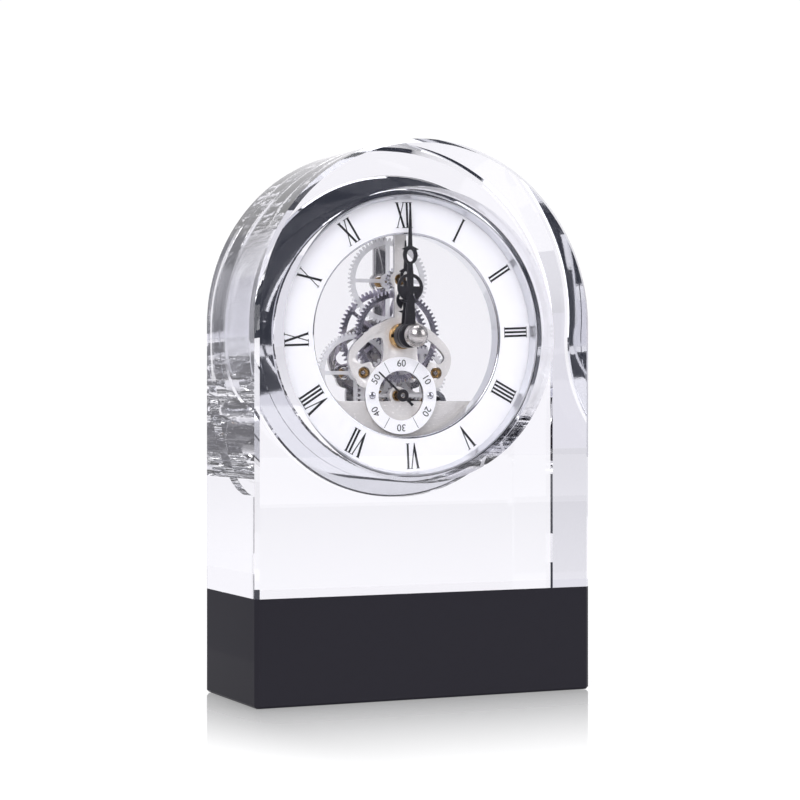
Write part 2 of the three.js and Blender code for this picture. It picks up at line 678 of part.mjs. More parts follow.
function centreWheel() {
  return wheel({
    teeth: CENTRE_WHEEL_TEETH, module: CENTRE_MODULE, phase: CENTRE_WHEEL_PHASE,
    front: plane(CENTRE_WHEEL_PLANE), bore: MINUTE_SHAFT_RADIUS + GAP, place: CENTRE, spokes: 5,
  });
}

function middlePinion() {
  const front = plane(SECONDS_WHEEL_PLANE) - PINION_EXTRA;
  const back = plane(SECONDS_WHEEL_PLANE) + WHEEL_THICKNESS + PINION_EXTRA;
  const leaves = pinion({
    teeth: MIDDLE_PINION_TEETH, module: SECONDS_MODULE, phase: MIDDLE_PINION_PHASE,
    front, back, place: RIGHT_ARBOR,
  });
  return join(arborBody(RIGHT_ARBOR, FRONT_BRIDGE_BACK + 2 * GAP), leaves);
}

function middleWheel() {
  return wheel({
    teeth: MIDDLE_WHEEL_TEETH, module: MIDDLE_MODULE, phase: MIDDLE_WHEEL_PHASE,
    front: plane(MIDDLE_WHEEL_PLANE), bore: ARBOR_RADIUS + GAP, place: RIGHT_ARBOR, spokes: 4,
  });
}

// Motor

const ROTOR_MAGNET_RADIUS = 2.6;
const ROTOR_MAGNET_LENGTH = 2;

function rotorPinion() {
  const front = plane(MIDDLE_WHEEL_PLANE) - PINION_EXTRA;
  const back = plane(MIDDLE_WHEEL_PLANE) + WHEEL_THICKNESS + PINION_EXTRA;
  const shaft = turned([
    [0, HOUSING_INNER + GAP], [ARBOR_RADIUS, HOUSING_INNER + GAP], [ARBOR_RADIUS, BACK_BRIDGE - GAP],
    [PIVOT_RADIUS, BACK_BRIDGE - GAP], [PIVOT_RADIUS, BACK_BRIDGE_BACK], [0, BACK_BRIDGE_BACK],
  ], ROTOR_ARBOR, 10);
  const leaves = pinion({
    teeth: ROTOR_PINION_TEETH, module: MIDDLE_MODULE, phase: ROTOR_PINION_PHASE,
    front, back, place: ROTOR_ARBOR,
  });
  return join(shaft, leaves);
}

function rotorMagnet() {
  const middle = STATOR_FRONT + STATOR_THICKNESS / 2;
  const half = ROTOR_MAGNET_LENGTH / 2;
  return ring(ARBOR_RADIUS + GAP, ROTOR_MAGNET_RADIUS, middle - half, middle + half, ROTOR_ARBOR, 16);
}

function stator() {
  const front = STATOR_FRONT;
  const back = front + STATOR_THICKNESS;
  const [x, z] = ROTOR_ARBOR;
  const coilStart = COIL_X - COIL_LENGTH / 2;
  const coilEnd = COIL_X + COIL_LENGTH / 2;
  const low = COIL_Z - COIL_RADIUS;
  const top = HOUSING_TOP - GAP;
  const pieces = [
    rod(ROTOR_MAGNET_RADIUS + STATOR_RING, front, back, ROTOR_ARBOR, 20),
    block(x, coilStart - 1, low, z, front, back),
    block(x, coilEnd + STATOR_REACH, COIL_Z + COIL_RADIUS + GAP, top, front, back),
    block(coilEnd + 1, coilEnd + STATOR_REACH, low, top, front, back),
  ];
  return cut(join(...pieces), rod(ROTOR_MAGNET_RADIUS + RUN, front - 1, back + 1, ROTOR_ARBOR, 20));
}

function coilCore() {
  const front = STATOR_FRONT + STATOR_THICKNESS + GAP;
  const reach = COIL_LENGTH / 2 + STATOR_REACH;
  const half = CORE_HALF_WIDTH;
  return block(COIL_X - reach, COIL_X + reach, COIL_Z - half, COIL_Z + half, front, front + CORE_THICKNESS);
}

// The winding, with flanges at both ends and a slot for the core
function coil() {
  const middle = STATOR_FRONT + STATOR_THICKNESS + GAP + CORE_THICKNESS / 2;
  const half = COIL_LENGTH / 2;
  const wound = COIL_RADIUS - 0.5;
  const flange = half - 0.7;
  const profile = [
    [0, -half], [COIL_RADIUS, -half], [COIL_RADIUS, -flange], [wound, -flange],
    [wound, flange], [COIL_RADIUS, flange], [COIL_RADIUS, half], [0, half],
  ];
  const body = turned(profile, CENTRE, 12);
  body.rotateZ(-Math.PI / 2);
  body.translate(COIL_X, middle, COIL_Z);
  const slotHeight = CORE_HALF_WIDTH + GAP;
  const slotDepth = CORE_THICKNESS / 2 + GAP;
  const slot = block(
    COIL_X - COIL_LENGTH, COIL_X + COIL_LENGTH, COIL_Z - slotHeight, COIL_Z + slotHeight,
    middle - slotDepth, middle + slotDepth,
  );
  return cut(body, slot);
}

function circuitBoard() {
  const bottom = BOX_TOP + BOX_WALL + GAP;
  const top = HOUSING_TOP - GAP;
  const back = BOARD_DEPTH + BOARD_THICKNESS;
  const board = block(BOARD_RIGHT - BOARD_LENGTH, BOARD_RIGHT, bottom, top, BOARD_DEPTH, back);
  const chipRight = BOARD_RIGHT - CHIP_SIDE + 1;
  const chip = block(
    chipRight - CHIP_SIDE, chipRight, bottom + 1, bottom + CHIP_SIDE,
    BOARD_DEPTH - CHIP_HEIGHT, BOARD_DEPTH + 0.2,
  );
  return join(board, chip);
}

function quartzCan() {
  const round = 0.3;
  const body = turned([
    [0, 0], [CRYSTAL_CAN_RADIUS - round, 0], [CRYSTAL_CAN_RADIUS, round],
    [CRYSTAL_CAN_RADIUS, CRYSTAL_CAN_LENGTH], [0, CRYSTAL_CAN_LENGTH],
  ], CENTRE, 12);
  body.rotateZ(-Math.PI / 2);
  body.translate(
    BOARD_RIGHT - BOARD_LENGTH + CRYSTAL_CAN_INSET,
    BOARD_DEPTH - CRYSTAL_CAN_RADIUS - GAP,
    BOX_TOP + BOX_WALL + GAP + CRYSTAL_CAN_INSET,
  );
  return body;
}

// Battery housing: a segment of a disc under the movement, with a box for the cell behind it

function housingSegment(radius, front, back) {
  const slab = block(-CASE_BORE, CASE_BORE, -CASE_BORE, HOUSING_TOP, front, back);
  return common(rod(radius, front, back, CENTRE, 48), slab);
}

function batteryHousing() {
  const radius = HOUSING_RADIUS;
  const back = BACK_BRIDGE_BACK + GAP;
  const shell = cut(
    housingSegment(radius, HOUSING_FRONT, back),
    rod(radius - HOUSING_RIM, HOUSING_INNER, back + 1, CENTRE, 48),
  );
  const boxEnd = BATTERY_LENGTH / 2 + BATTERY_NUB_LENGTH + CONTACT_THICKNESS + BOX_END_CLEARANCE;
  const inside = rod(radius - 0.5, HOUSING_INNER - 0.5, back, CENTRE, 48);
  const boxFront = BATTERY_DEPTH - BATTERY_RADIUS - BOX_WALL;
  const outerEnd = boxEnd + BOX_WALL;
  const box = common(block(-outerEnd, outerEnd, -radius, BOX_TOP + BOX_WALL, boxFront, back), inside);
  const hollow = common(
    block(-boxEnd, boxEnd, -radius, BOX_TOP, boxFront + BOX_WALL - GAP, back + 1),
    rod(radius - HOUSING_RIM, boxFront, back + 1, CENTRE, 48),
  );
  const ear = rod(BUSH_RADIUS + 1.3, HOUSING_FRONT, HOUSING_INNER, SECONDS_ARBOR, 24);
  const seatCentre = Math.sqrt(LEDGE_RADIUS ** 2 - HOUSING_TOP ** 2) - 2;
  const seatTop = HOUSING_TOP - 1;
  const seatRing = cut(
    rod(radius, FRONT_BRIDGE, HOUSING_INNER, CENTRE, 48),
    rod(LEDGE_RADIUS - 1, FRONT_BRIDGE - 1, HOUSING_FRONT, CENTRE, 48),
  );
  const seats = [-seatCentre, seatCentre].map((x) => {
    const half = SEAT_WIDTH / 2;
    return common(
      block(x - half, x + half, seatTop - SEAT_HEIGHT, seatTop, FRONT_BRIDGE, HOUSING_INNER),
      seatRing,
    );
  });
  const bushSeat = rod(BUSH_RADIUS + GAP, HOUSING_FRONT - 1, HOUSING_INNER + 1, SECONDS_ARBOR, 20);
  return cut(join(shell, box, ear, ...seats), hollow, bushSeat);
}

function batteryCell() {
  const half = BATTERY_LENGTH / 2;
  const body = turned([
    [0, -half], [BATTERY_RADIUS - 0.4, -half], [BATTERY_RADIUS, -half + 0.4], [BATTERY_RADIUS, half - 0.4],
    [BATTERY_RADIUS - 0.4, half], [BATTERY_NUB_RADIUS, half],
    [BATTERY_NUB_RADIUS, half + BATTERY_NUB_LENGTH], [0, half + BATTERY_NUB_LENGTH],
  ], CENTRE, 18);
  body.rotateZ(-Math.PI / 2);
  body.translate(0, BATTERY_DEPTH, BATTERY_Z);
  return body;
}

function contactPlate(side) {
  const reach = BATTERY_LENGTH / 2 + GAP + (side > 0 ? BATTERY_NUB_LENGTH : 0);
  const near = side * reach;
  const far = side * (reach + CONTACT_THICKNESS);
  return block(
    Math.min(near, far), Math.max(near, far), BATTERY_Z - 3.4, BATTERY_Z + 4,
    BATTERY_DEPTH - 4, BATTERY_DEPTH + 4.5,
  );
}

// Back of the clock

function rearCover() {
  const cover = rod(CASE_BORE - GAP, COVER_FRONT, COVER_BACK, CENTRE, 48);
  const shaftHole = rod(PIVOT_RADIUS + 1, COVER_FRONT - 1, COVER_BACK + 1, CENTRE, 12);
  const side = DOOR_HALF_WIDTH;
  const doorway = block(-side, side, DOOR_BOTTOM, BOX_TOP, COVER_FRONT - 1, COVER_BACK + 1);
  return cut(cover, shaftHole, doorway);
}

function batteryDoor() {
  const x = DOOR_HALF_WIDTH - GAP;
  const panel = block(-x, x, DOOR_BOTTOM + GAP, BOX_TOP - GAP, COVER_FRONT, COVER_BACK);
  const grip = block(-6, 6, BOX_TOP - 2.4, BOX_TOP - 1.4, COVER_BACK - 0.2, COVER_BACK + 0.7);
  return join(panel, grip);
}

function setKnob() {
  const front = COVER_BACK + GAP;
  const back = front + KNOB_THICKNESS;
  const shape = new THREE.Shape();
  for (let k = 0; k < 2 * KNOB_FLUTES; k += 1) {
    const angle = (Math.PI * k) / KNOB_FLUTES;
    const radius = k % 2 === 0 ? KNOB_RADIUS : KNOB_RADIUS - 0.35;
    const point = [radius * Math.cos(angle), radius * Math.sin(angle)];
    if (k === 0) {
      shape.moveTo(...point);
    } else {
      shape.lineTo(...point);
    }
  }
  shape.closePath();
  return cut(plate(shape, front, back), rod(PIVOT_RADIUS + GAP, front - 1, back - 0.3, CENTRE, 10));
}

// Hands, drawn pointing up from the axis

function taper(zStart, halfStart, zEnd, halfEnd) {
  return polygon([[-halfStart, zStart], [halfStart, zStart], [halfEnd, zEnd], [-halfEnd, zEnd]]);
}

function oval(z, halfWidth, halfHeight) {
  const shape = new THREE.Shape();
  shape.absellipse(0, z, halfWidth, halfHeight, 0, 2 * Math.PI, false, 0);
  return shape;
}

function diamond(z, halfWidth, below, above) {
  return polygon([[-halfWidth, z], [0, z - below], [halfWidth, z], [0, z + above]]);
}

// A disc with a window on each side of its stem and an open mouth below, which leaves two horns
function crescentShapes({ z, radius, band, stem }) {
  const inner = radius - band;
  const window = new THREE.Shape();
  window.absarc(0, z, inner, 0.1, Math.acos(stem / inner), false);
  window.lineTo(stem, z + 0.1 * inner);
  window.closePath();
  const windowPoints = window.getPoints(5).map((p) => [p.x, p.y]);
  const mouth = [[stem, z - 0.25 * radius], [0.62 * radius, z - 1.3 * radius], [stem, z - 1.3 * radius]];
  return [polygon(windowPoints), polygon(mirrored(windowPoints)), polygon(mouth), polygon(mirrored(mouth))];
}

// Serpentine pattern: collar, crescent, neck, loop with ears, then a needle
function serpentineHand({ length, front, bossFront, bossBack, bore, collar, crescent, loop }) {
  const back = front + HAND_THICKNESS;
  const blade = (shape) => plate(shape, front, back, 6);
  const tool = (shape) => plate(shape, front - 1, back + 1, 6);
  const loopTop = loop.z + loop.halfHeight;
  const head = cut(blade(disc(0, crescent.z, crescent.radius)), ...crescentShapes(crescent).map(tool));
  const opening = oval(loop.z - 0.2, loop.eyeWidth, loop.eyeHeight);
  const eye = cut(blade(oval(loop.z, loop.halfWidth, loop.halfHeight)), tool(opening));
  const outline = [
    taper(0, collar.halfRoot, collar.z, collar.halfTop),
    diamond(collar.z, collar.halfWidth, 1.2, 0.7),
    taper(collar.z, crescent.stem, crescent.z, crescent.stem),
    taper(crescent.z + crescent.radius - 0.5, loop.neck, loop.z - loop.halfHeight + 0.5, 0.7 * loop.neck),
    taper(loopTop - 0.3, loop.needle, length, NEEDLE_TIP),
  ];
  const ears = cut(blade(diamond(loopTop - 1.1, loop.halfWidth + 0.5, 1.1, 1.5)), tool(opening));
  const boss = rod(HAND_BOSS_RADIUS, bossFront, bossBack, CENTRE, 20);
  const hole = rod(bore, bossFront - 1, bossBack + 1, CENTRE, 14);
  return cut(join(head, eye, ears, ...outline.map(blade), boss), hole);
}

function minuteHand() {
  return serpentineHand({
    ...MINUTE_HAND_FORM,
    length: MINUTE_HAND_LENGTH,
    front: MINUTE_HAND_FRONT,
    bossFront: NUT_BALL_DEPTH + NUT_BALL_RADIUS + GAP,
    bossBack: MINUTE_HAND_FRONT + MINUTE_BOSS_STEP,
    bore: MINUTE_SHAFT_RADIUS + GAP,
  });
}

function hourHand() {
  return serpentineHand({
    ...HOUR_HAND_FORM,
    length: HOUR_HAND_LENGTH,
    front: HOUR_HAND_FRONT,
    bossFront: MINUTE_HAND_FRONT + MINUTE_BOSS_STEP + GAP,
    bossBack: HOUR_HAND_FRONT + HOUR_BOSS_STEP,
    bore: HOUR_PIPE_RADIUS + GAP,
  });
}

function secondsHand() {
  const back = SECONDS_DIAL_FRONT - SECONDS_HAND_LIFT;
  const front = back - HAND_THICKNESS;
  const blade = plate(taper(-SECONDS_HAND_TAIL, 0.5, SECONDS_HAND_LENGTH, 0.22), front + 0.2, back);
  const hub = rod(SECONDS_HUB_RADIUS, front, back, CENTRE, 16);
  const geometry = cut(join(blade, hub), rod(PIVOT_RADIUS + GAP, front - 1, back + 1, CENTRE, 10));
  geometry.rotateY(-THREE.MathUtils.degToRad(SECONDS_HAND_REST));
  geometry.translate(SECONDS_ARBOR[0], 0, SECONDS_ARBOR[1]);
  return geometry;
}

// The minute hand is held by a polished ball nut
function handNut() {
  const steps = 10;
  const profile = [];
  const seat = NUT_BALL_DEPTH + NUT_BALL_RADIUS;
  for (let k = 0; k <= steps; k += 1) {
    const angle = (Math.PI * k) / steps;
    const depth = NUT_BALL_DEPTH - NUT_BALL_RADIUS * Math.cos(angle);
    profile.push([NUT_BALL_RADIUS * Math.sin(angle), depth]);
  }
  profile[0][0] = 0;
  profile[steps][0] = 0;
  const ball = turned(profile, CENTRE, 16);
  return cut(ball, rod(MINUTE_SHAFT_RADIUS + GAP, seat - NUT_SEAT_DEPTH - RUN, seat + 1, CENTRE, 10));
}

// Materials, colours read from the photograph

const material = (color, roughness, metalness, extra = {}) => (
  new THREE.MeshStandardMaterial({ color, roughness, metalness, ...extra })
);
const CRYSTAL = material(0xf2f4f8, 0.02, 0, { transparent: true, opacity: 0.3 });
const BLACK_CRYSTAL = material(0x353339, 0.05, 0);
const CHROME = material(0xd6d8dc, 0.08, 1);
const SILVER_DIAL = material(0xf0f0f3, 0.35, 0.3);
const SATIN_PLATE = material(0xe1deda, 0.4, 0.6);
const BLACK_PAINT = material(0x1d1c20, 0.4, 0);
const BRASS = material(0xb08a4e, 0.25, 1);
const STEEL = material(0xb9bbc2, 0.2, 1);
const WHITE_PLASTIC = material(0xf1efee, 0.45, 0);
const BLACK_PLASTIC = material(0x222126, 0.5, 0);
const BOARD_GREEN = material(0x2f5f3c, 0.5, 0);
const COPPER = material(0xb4653a, 0.35, 1);

// Assembly

const clock = new THREE.Group();
clock.position.set(0, -THICKNESS / 2, CLOCK_HEIGHT);
const standing = new THREE.Group();
standing.position.set(0, -THICKNESS / 2, 0);
const part = new THREE.Group();
part.add(standing, clock);

function add(group, name, geometry, look) {
  const mesh = new THREE.Mesh(geometry, look);
  mesh.name = name;
  group.add(mesh);
}

add(standing, 'crystal_block', crystalBlock(), CRYSTAL);
add(standing, 'base_block', baseBlock(), BLACK_CRYSTAL);

add(clock, 'case_ring', caseRing(), CHROME);
add(clock, 'dial_edge_ring', dialEdgeRing(), CHROME);
add(clock, 'chapter_ring', chapterRing(), SILVER_DIAL);
add(clock, 'front_bridge', frontBridge(), SATIN_PLATE);
add(clock, 'back_bridge', backBridge(), SATIN_PLATE);
const PILLAR_PLACE = [0, FOOT_TOP - FOOT_HEIGHT / 2];
add(clock, 'bridge_pillar', rod(PILLAR_RADIUS, FRONT_BRIDGE_BACK, BACK_BRIDGE, PILLAR_PLACE, 20), STEEL);
add(clock, 'seconds_dial', secondsDial(), SILVER_DIAL);
pinPlaces().forEach((place, index) => {
  add(clock, `seconds_dial_pin_${['left', 'right'][index]}`, secondsDialPin(place), STEEL);
});

const FRONT_BUSHES = { top: TOP_ARBOR, left: LEFT_ARBOR, right: RIGHT_ARBOR };
for (const [name, place] of Object.entries(FRONT_BUSHES)) {
  add(clock, `front_bush_${name}`, bush(place, FRONT_BRIDGE, BRIDGE_THICKNESS), BRASS);
}
add(clock, 'front_bush_seconds', bush(SECONDS_ARBOR, HOUSING_FRONT, HOUSING_WALL), BRASS);
const BACK_BUSHES = { centre: CENTRE, ...FRONT_BUSHES, seconds: SECONDS_ARBOR, rotor: ROTOR_ARBOR };
for (const [name, place] of Object.entries(BACK_BUSHES)) {
  add(clock, `back_bush_${name}`, bush(place, BACK_BRIDGE, BRIDGE_THICKNESS), BRASS);
}
add(clock, 'centre_nut', centreNut(), BRASS);

add(clock, 'minute_arbor', minuteArbor(), STEEL);
add(clock, 'minute_hand', minuteHand(), BLACK_PAINT);
add(clock, 'hand_nut', handNut(), CHROME);
add(clock, 'set_knob', setKnob(), BLACK_PLASTIC);
add(clock, 'hour_wheel', hourWheel(), STEEL);
add(clock, 'hour_hand', hourHand(), BLACK_PAINT);
add(clock, 'minute_wheel', minuteWheel(), WHITE_PLASTIC);
add(clock, 'minute_pinion', minutePinion(), STEEL);

add(clock, 'seconds_arbor', secondsArbor(), STEEL);
add(clock, 'seconds_wheel', secondsWheel(), WHITE_PLASTIC);
add(clock, 'seconds_hand', secondsHand(), BLACK_PAINT);
add(clock, 'third_wheel', thirdWheel(), WHITE_PLASTIC);
add(clock, 'third_pinion', thirdPinion(), STEEL);
add(clock, 'centre_wheel', centreWheel(), STEEL);
add(clock, 'middle_wheel', middleWheel(), WHITE_PLASTIC);
add(clock, 'middle_pinion', middlePinion(), STEEL);
add(clock, 'rotor_magnet', rotorMagnet(), BLACK_PLASTIC);
add(clock, 'rotor_pinion', rotorPinion(), STEEL);

add(clock, 'stator', stator(), STEEL);
add(clock, 'coil', coil(), COPPER);
add(clock, 'coil_core', coilCore(), STEEL);
add(clock, 'circuit_board', circuitBoard(), BOARD_GREEN);
add(clock, 'quartz_can', quartzCan(), STEEL);
add(clock, 'battery_housing', batteryHousing(), SATIN_PLATE);
add(clock, 'battery', batteryCell(), BLACK_PLASTIC);
add(clock, 'battery_contact_minus', contactPlate(-1), STEEL);
add(clock, 'battery_contact_plus', contactPlate(1), STEEL);
add(clock, 'rear_cover', rearCover(), CRYSTAL);
add(clock, 'battery_door', batteryDoor(), SATIN_PLATE);

export default part;
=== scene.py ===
"""Crystal trophy clock: the looks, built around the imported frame.

Sizes are millimetres in the classes and metres in Blender. A depth is measured back from the front face of the block.
"""
import logging
import math
from dataclasses import dataclass
from enum import Enum
from typing import Callable, Iterable, List, Optional, Sequence, Tuple, Union

import bpy
from mathutils import Matrix, Vector


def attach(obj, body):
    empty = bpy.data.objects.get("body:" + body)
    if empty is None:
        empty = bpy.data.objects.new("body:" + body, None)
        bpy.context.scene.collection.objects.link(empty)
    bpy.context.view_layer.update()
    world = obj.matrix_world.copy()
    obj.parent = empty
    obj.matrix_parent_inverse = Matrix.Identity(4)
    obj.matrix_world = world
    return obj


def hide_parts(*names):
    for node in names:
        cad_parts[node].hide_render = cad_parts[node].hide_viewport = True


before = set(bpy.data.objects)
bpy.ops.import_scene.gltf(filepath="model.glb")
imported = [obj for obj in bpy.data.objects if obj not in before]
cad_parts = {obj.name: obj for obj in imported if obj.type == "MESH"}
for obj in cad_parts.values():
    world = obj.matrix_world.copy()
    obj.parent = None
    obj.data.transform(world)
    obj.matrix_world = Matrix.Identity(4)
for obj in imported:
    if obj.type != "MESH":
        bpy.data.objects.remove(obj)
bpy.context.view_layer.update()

LOG = logging.getLogger("crystal_clock")
MM = 0.001
FRONT = -25.0
AXIS_Z = 125.5
CASE_BODY = "clock_case"
SMOOTH_ANGLE = 35.0
EDGE_ANGLE = 40.0
WHITE = (1.0, 1.0, 1.0)

Point = Tuple[float, float]
Triple = Tuple[float, float, float]
Colour = Tuple[float, float, float]
Number = Union[float, "Socket"]
Piece = bpy.types.Object


def srgb(red: int, green: int, blue: int) -> Colour:
    """Turns a colour given in 0 to 255 into linear light.

    Args:
        red: red channel.
        green: green channel.
        blue: blue channel.

    Returns:
        The three linear channels.
    """
    def linear(channel: int) -> float:
        """One channel, by the sRGB curve."""
        share = channel / 255
        return share / 12.92 if share <= 0.04045 else ((share + 0.055) / 1.055) ** 2.4
    return linear(red), linear(green), linear(blue)


def darker(colour: Colour, share: float) -> Colour:
    """The colour with a share of its light.

    Args:
        colour: the colour.
        share: the share that is left.

    Returns:
        The new colour.
    """
    return tuple(channel * share for channel in colour)


class Socket:
    """A value in a node graph that works in Python expressions."""

    def __init__(self, graph: "Graph", link: bpy.types.NodeSocket) -> None:
        """Keeps the graph and the output that the value comes from."""
        self.graph = graph
        self.link = link

    def _math(self, operation: str, first: Number, second: Number = 0.0) -> "Socket":
        """Adds one Math node.

        Args:
            operation: the node's operation.
            first: first value.
            second: second value.

        Returns:
            The result.
        """
        return self.graph.node("ShaderNodeMath", {"operation": operation}, {0: first, 1: second})

    def __add__(self, other: Number) -> "Socket":
        """Sum."""
        return self._math("ADD", self, other)

    def __radd__(self, other: Number) -> "Socket":
        """Sum, reflected."""
        return self._math("ADD", other, self)

    def __sub__(self, other: Number) -> "Socket":
        """Difference."""
        return self._math("SUBTRACT", self, other)

    def __rsub__(self, other: Number) -> "Socket":
        """Difference, reflected."""
        return self._math("SUBTRACT", other, self)

    def __mul__(self, other: Number) -> "Socket":
        """Product."""
        return self._math("MULTIPLY", self, other)

    def __truediv__(self, other: Number) -> "Socket":
        """Quotient."""
        return self._math("DIVIDE", self, other)

    def __gt__(self, other: Number) -> "Socket":
        """One where the value is greater, otherwise zero."""
        return self._math("GREATER_THAN", self, other)

    def __lt__(self, other: Number) -> "Socket":
        """One where the value is less, otherwise zero."""
        return self._math("LESS_THAN", self, other)

    def size(self) -> "Socket":
        """The value without its sign."""
        return self._math("ABSOLUTE", self)

    def root(self) -> "Socket":
        """Square root."""
        return self._math("SQRT", self)

    def at_least(self, other: Number) -> "Socket":
        """The larger of two values."""
        return self._math("MAXIMUM", self, other)


class Graph:
    """Builds the nodes of one material or of the world."""

    def __init__(self, tree: bpy.types.NodeTree, output: str) -> None:
        """Empties the tree and adds its output node.

        Args:
            tree: the node tree.
            output: type of the output node.
        """
        self.tree = tree
        tree.nodes.clear()
        self.output = tree.nodes.new(output)

    def node(
        self, kind: str, settings: Optional[dict] = None, values: Optional[dict] = None, out: Union[int, str] = 0,
    ) -> Socket:
        """Adds a node.

        Args:
            kind: type of the node.
            settings: attributes, set first.
            values: values or links of the inputs, by name or place.
            out: which output is wanted.

        Returns:
            The output as a value.
        """
        node = self.tree.nodes.new(kind)
        for key, value in (settings or {}).items():
            setattr(node, key, value)
        for key, value in (values or {}).items():
            target = node.inputs[key]
            if isinstance(value, Socket):
                self.tree.links.new(value.link, target)
            elif isinstance(value, tuple) and len(value) == 3 and target.type == "RGBA":
                target.default_value = (*value, 1.0)
            else:
                target.default_value = value
        return Socket(self, node.outputs[out])

    def path(self, name: str) -> Socket:
        """One output of the Light Path node."""
        return self.node("ShaderNodeLightPath", out=name)

    def place(self, scale: Triple = (1.0, 1.0, 1.0)) -> Socket:
        """Object coordinates, scaled along each axis."""
        coordinates = self.node("ShaderNodeTexCoord", out="Object")
        return self.node("ShaderNodeMapping", {}, {"Vector": coordinates, "Scale": scale})

    def axes(self, vector: Socket) -> List[Socket]:
        """The three parts of a vector."""
        return [self.node("ShaderNodeSeparateXYZ", {}, {"Vector": vector}, out=axis) for axis in "XYZ"]

    def noise(self, vector: Socket, scale: float = 1.0, detail: float = 2.0) -> Socket:
        """A noise value from 0 to 1."""
        return self.node("ShaderNodeTexNoise", {}, {"Vector": vector, "Scale": scale, "Detail": detail})

    def mixed(self, factor: Number, first: Socket, second: Socket) -> Socket:
        """Mixes two shaders."""
        return self.node("ShaderNodeMixShader", {}, {0: factor, 1: first, 2: second})

    def transparent(self, tint: Colour) -> Socket:
        """A shader that lets light straight through."""
        return self.node("ShaderNodeBsdfTransparent", {}, {"Color": tint})

    def light(self, kind: str, colour: Union[Colour, Socket], strength: float) -> Socket:
        """A shader that gives light of its own."""
        return self.node(kind, {}, {"Color": colour, "Strength": strength})

    def blend(self, factor: Number, first: Union[Colour, Socket], second: Union[Colour, Socket]) -> Socket:
        """Mixes two colours."""
        return self.node("ShaderNodeMix", {"data_type": "RGBA"}, {0: factor, 6: first, 7: second}, out=2)

    def bump(self, height: Socket, strength: float, distance: float) -> Socket:
        """A normal from a height."""
        return self.node("ShaderNodeBump", {}, {"Height": height, "Strength": strength, "Distance": distance})

    def principled(self, **values: Union[Number, Colour]) -> Socket:
        """A Principled shader; an underscore in a name stands for a space."""
        named = {key.replace("_", " "): value for key, value in values.items()}
        return self.node("ShaderNodeBsdfPrincipled", {}, named)

    def finish(self, shader: Socket) -> None:
        """Links the shader to the output."""
        self.tree.links.new(shader.link, self.output.inputs["Surface"])


@dataclass(frozen=True)
class Finish:
    """What every finish of the clock has and can do."""

    label: str
    slot: str

    def shader(self, graph: Graph) -> Socket:
        """Builds the shader; each finish has its own."""
        raise NotImplementedError

    def material(self) -> bpy.types.Material:
        """Makes the material once and gives it again after that.

        Returns:
            The material.
        """
        name = f"finish_{self.label}"
        made = bpy.data.materials.get(name)
        if made is None:
            made = bpy.data.materials.new(name)
            made.use_nodes = True
            graph = Graph(made.node_tree, "ShaderNodeOutputMaterial")
            graph.finish(self.shader(graph))
        return made


@dataclass(frozen=True)
class ClearCrystal(Finish):
    """Optical crystal, polished or with the streaks of a turning tool along the depth and round the axis.

    Shadow rays pass, so that the lamps reach what stands inside.
    """

    slot: str = "crystal"
    streaked: bool = False
    index: float = 1.52
    tint: Colour = (0.975, 0.972, 0.998)
    streak_scale: Triple = (900.0, 90.0, 900.0)
    streak_strength: float = 0.07
    streak_depth: float = 0.0002

    def shader(self, graph: Graph) -> Socket:
        """Refracting shader, mixed with a clear one for shadow rays."""
        relief = {}
        if self.streaked:
            streaks = graph.noise(graph.place(self.streak_scale))
            relief["Normal"] = graph.bump(streaks, self.streak_strength, self.streak_depth)
        glass = graph.principled(
            Base_Color=self.tint, Roughness=0.0, IOR=self.index, Transmission_Weight=1.0, **relief)
        return graph.mixed(graph.path("Is Shadow Ray"), glass, graph.transparent(self.tint))


@dataclass(frozen=True)
class BlackCrystal(Finish):
    """Polished black crystal, even in tone, with a faint waviness from polishing."""

    colour: Colour
    roughness: float = 0.03
    grain_scale: float = 90.0
    wave_scale: float = 14.0
    wave_strength: float = 0.02
    wave_depth: float = 0.001
    specular: float = 0.012

    def shader(self, graph: Graph) -> Socket:
        """Glossy dark body with a slight variation of the polish."""
        grain = graph.noise(graph.place(), self.grain_scale, 3.0)
        waves = graph.noise(graph.place(), self.wave_scale, 1.0)
        return graph.principled(
            Base_Color=self.colour, Roughness=self.roughness + grain * self.roughness, IOR=1.5,
            Specular_IOR_Level=self.specular, Normal=graph.bump(waves, self.wave_strength, self.wave_depth),
        )


@dataclass(frozen=True)
class Metal(Finish):
    """A metal with its own colour, roughness and fine grain."""

    colour: Colour
    roughness: float
    grain: float = 0.04
    brush: Triple = (2600.0, 2600.0, 2600.0)
    metallic: float = 1.0
    contrast: float = 0.2
    shade: float = 0.8
    relief: float = 0.03
    relief_depth: float = 0.00005

    def shader(self, graph: Graph) -> Socket:
        """Metal with grain in its roughness and a fine bump."""
        grain = graph.noise(graph.place(self.brush))
        return graph.principled(
            Base_Color=graph.blend(grain * self.contrast, self.colour, darker(self.colour, self.shade)),
            Metallic=self.metallic, Roughness=self.roughness + (grain - 0.5) * self.grain,
            Normal=graph.bump(grain, self.relief, self.relief_depth),
        )


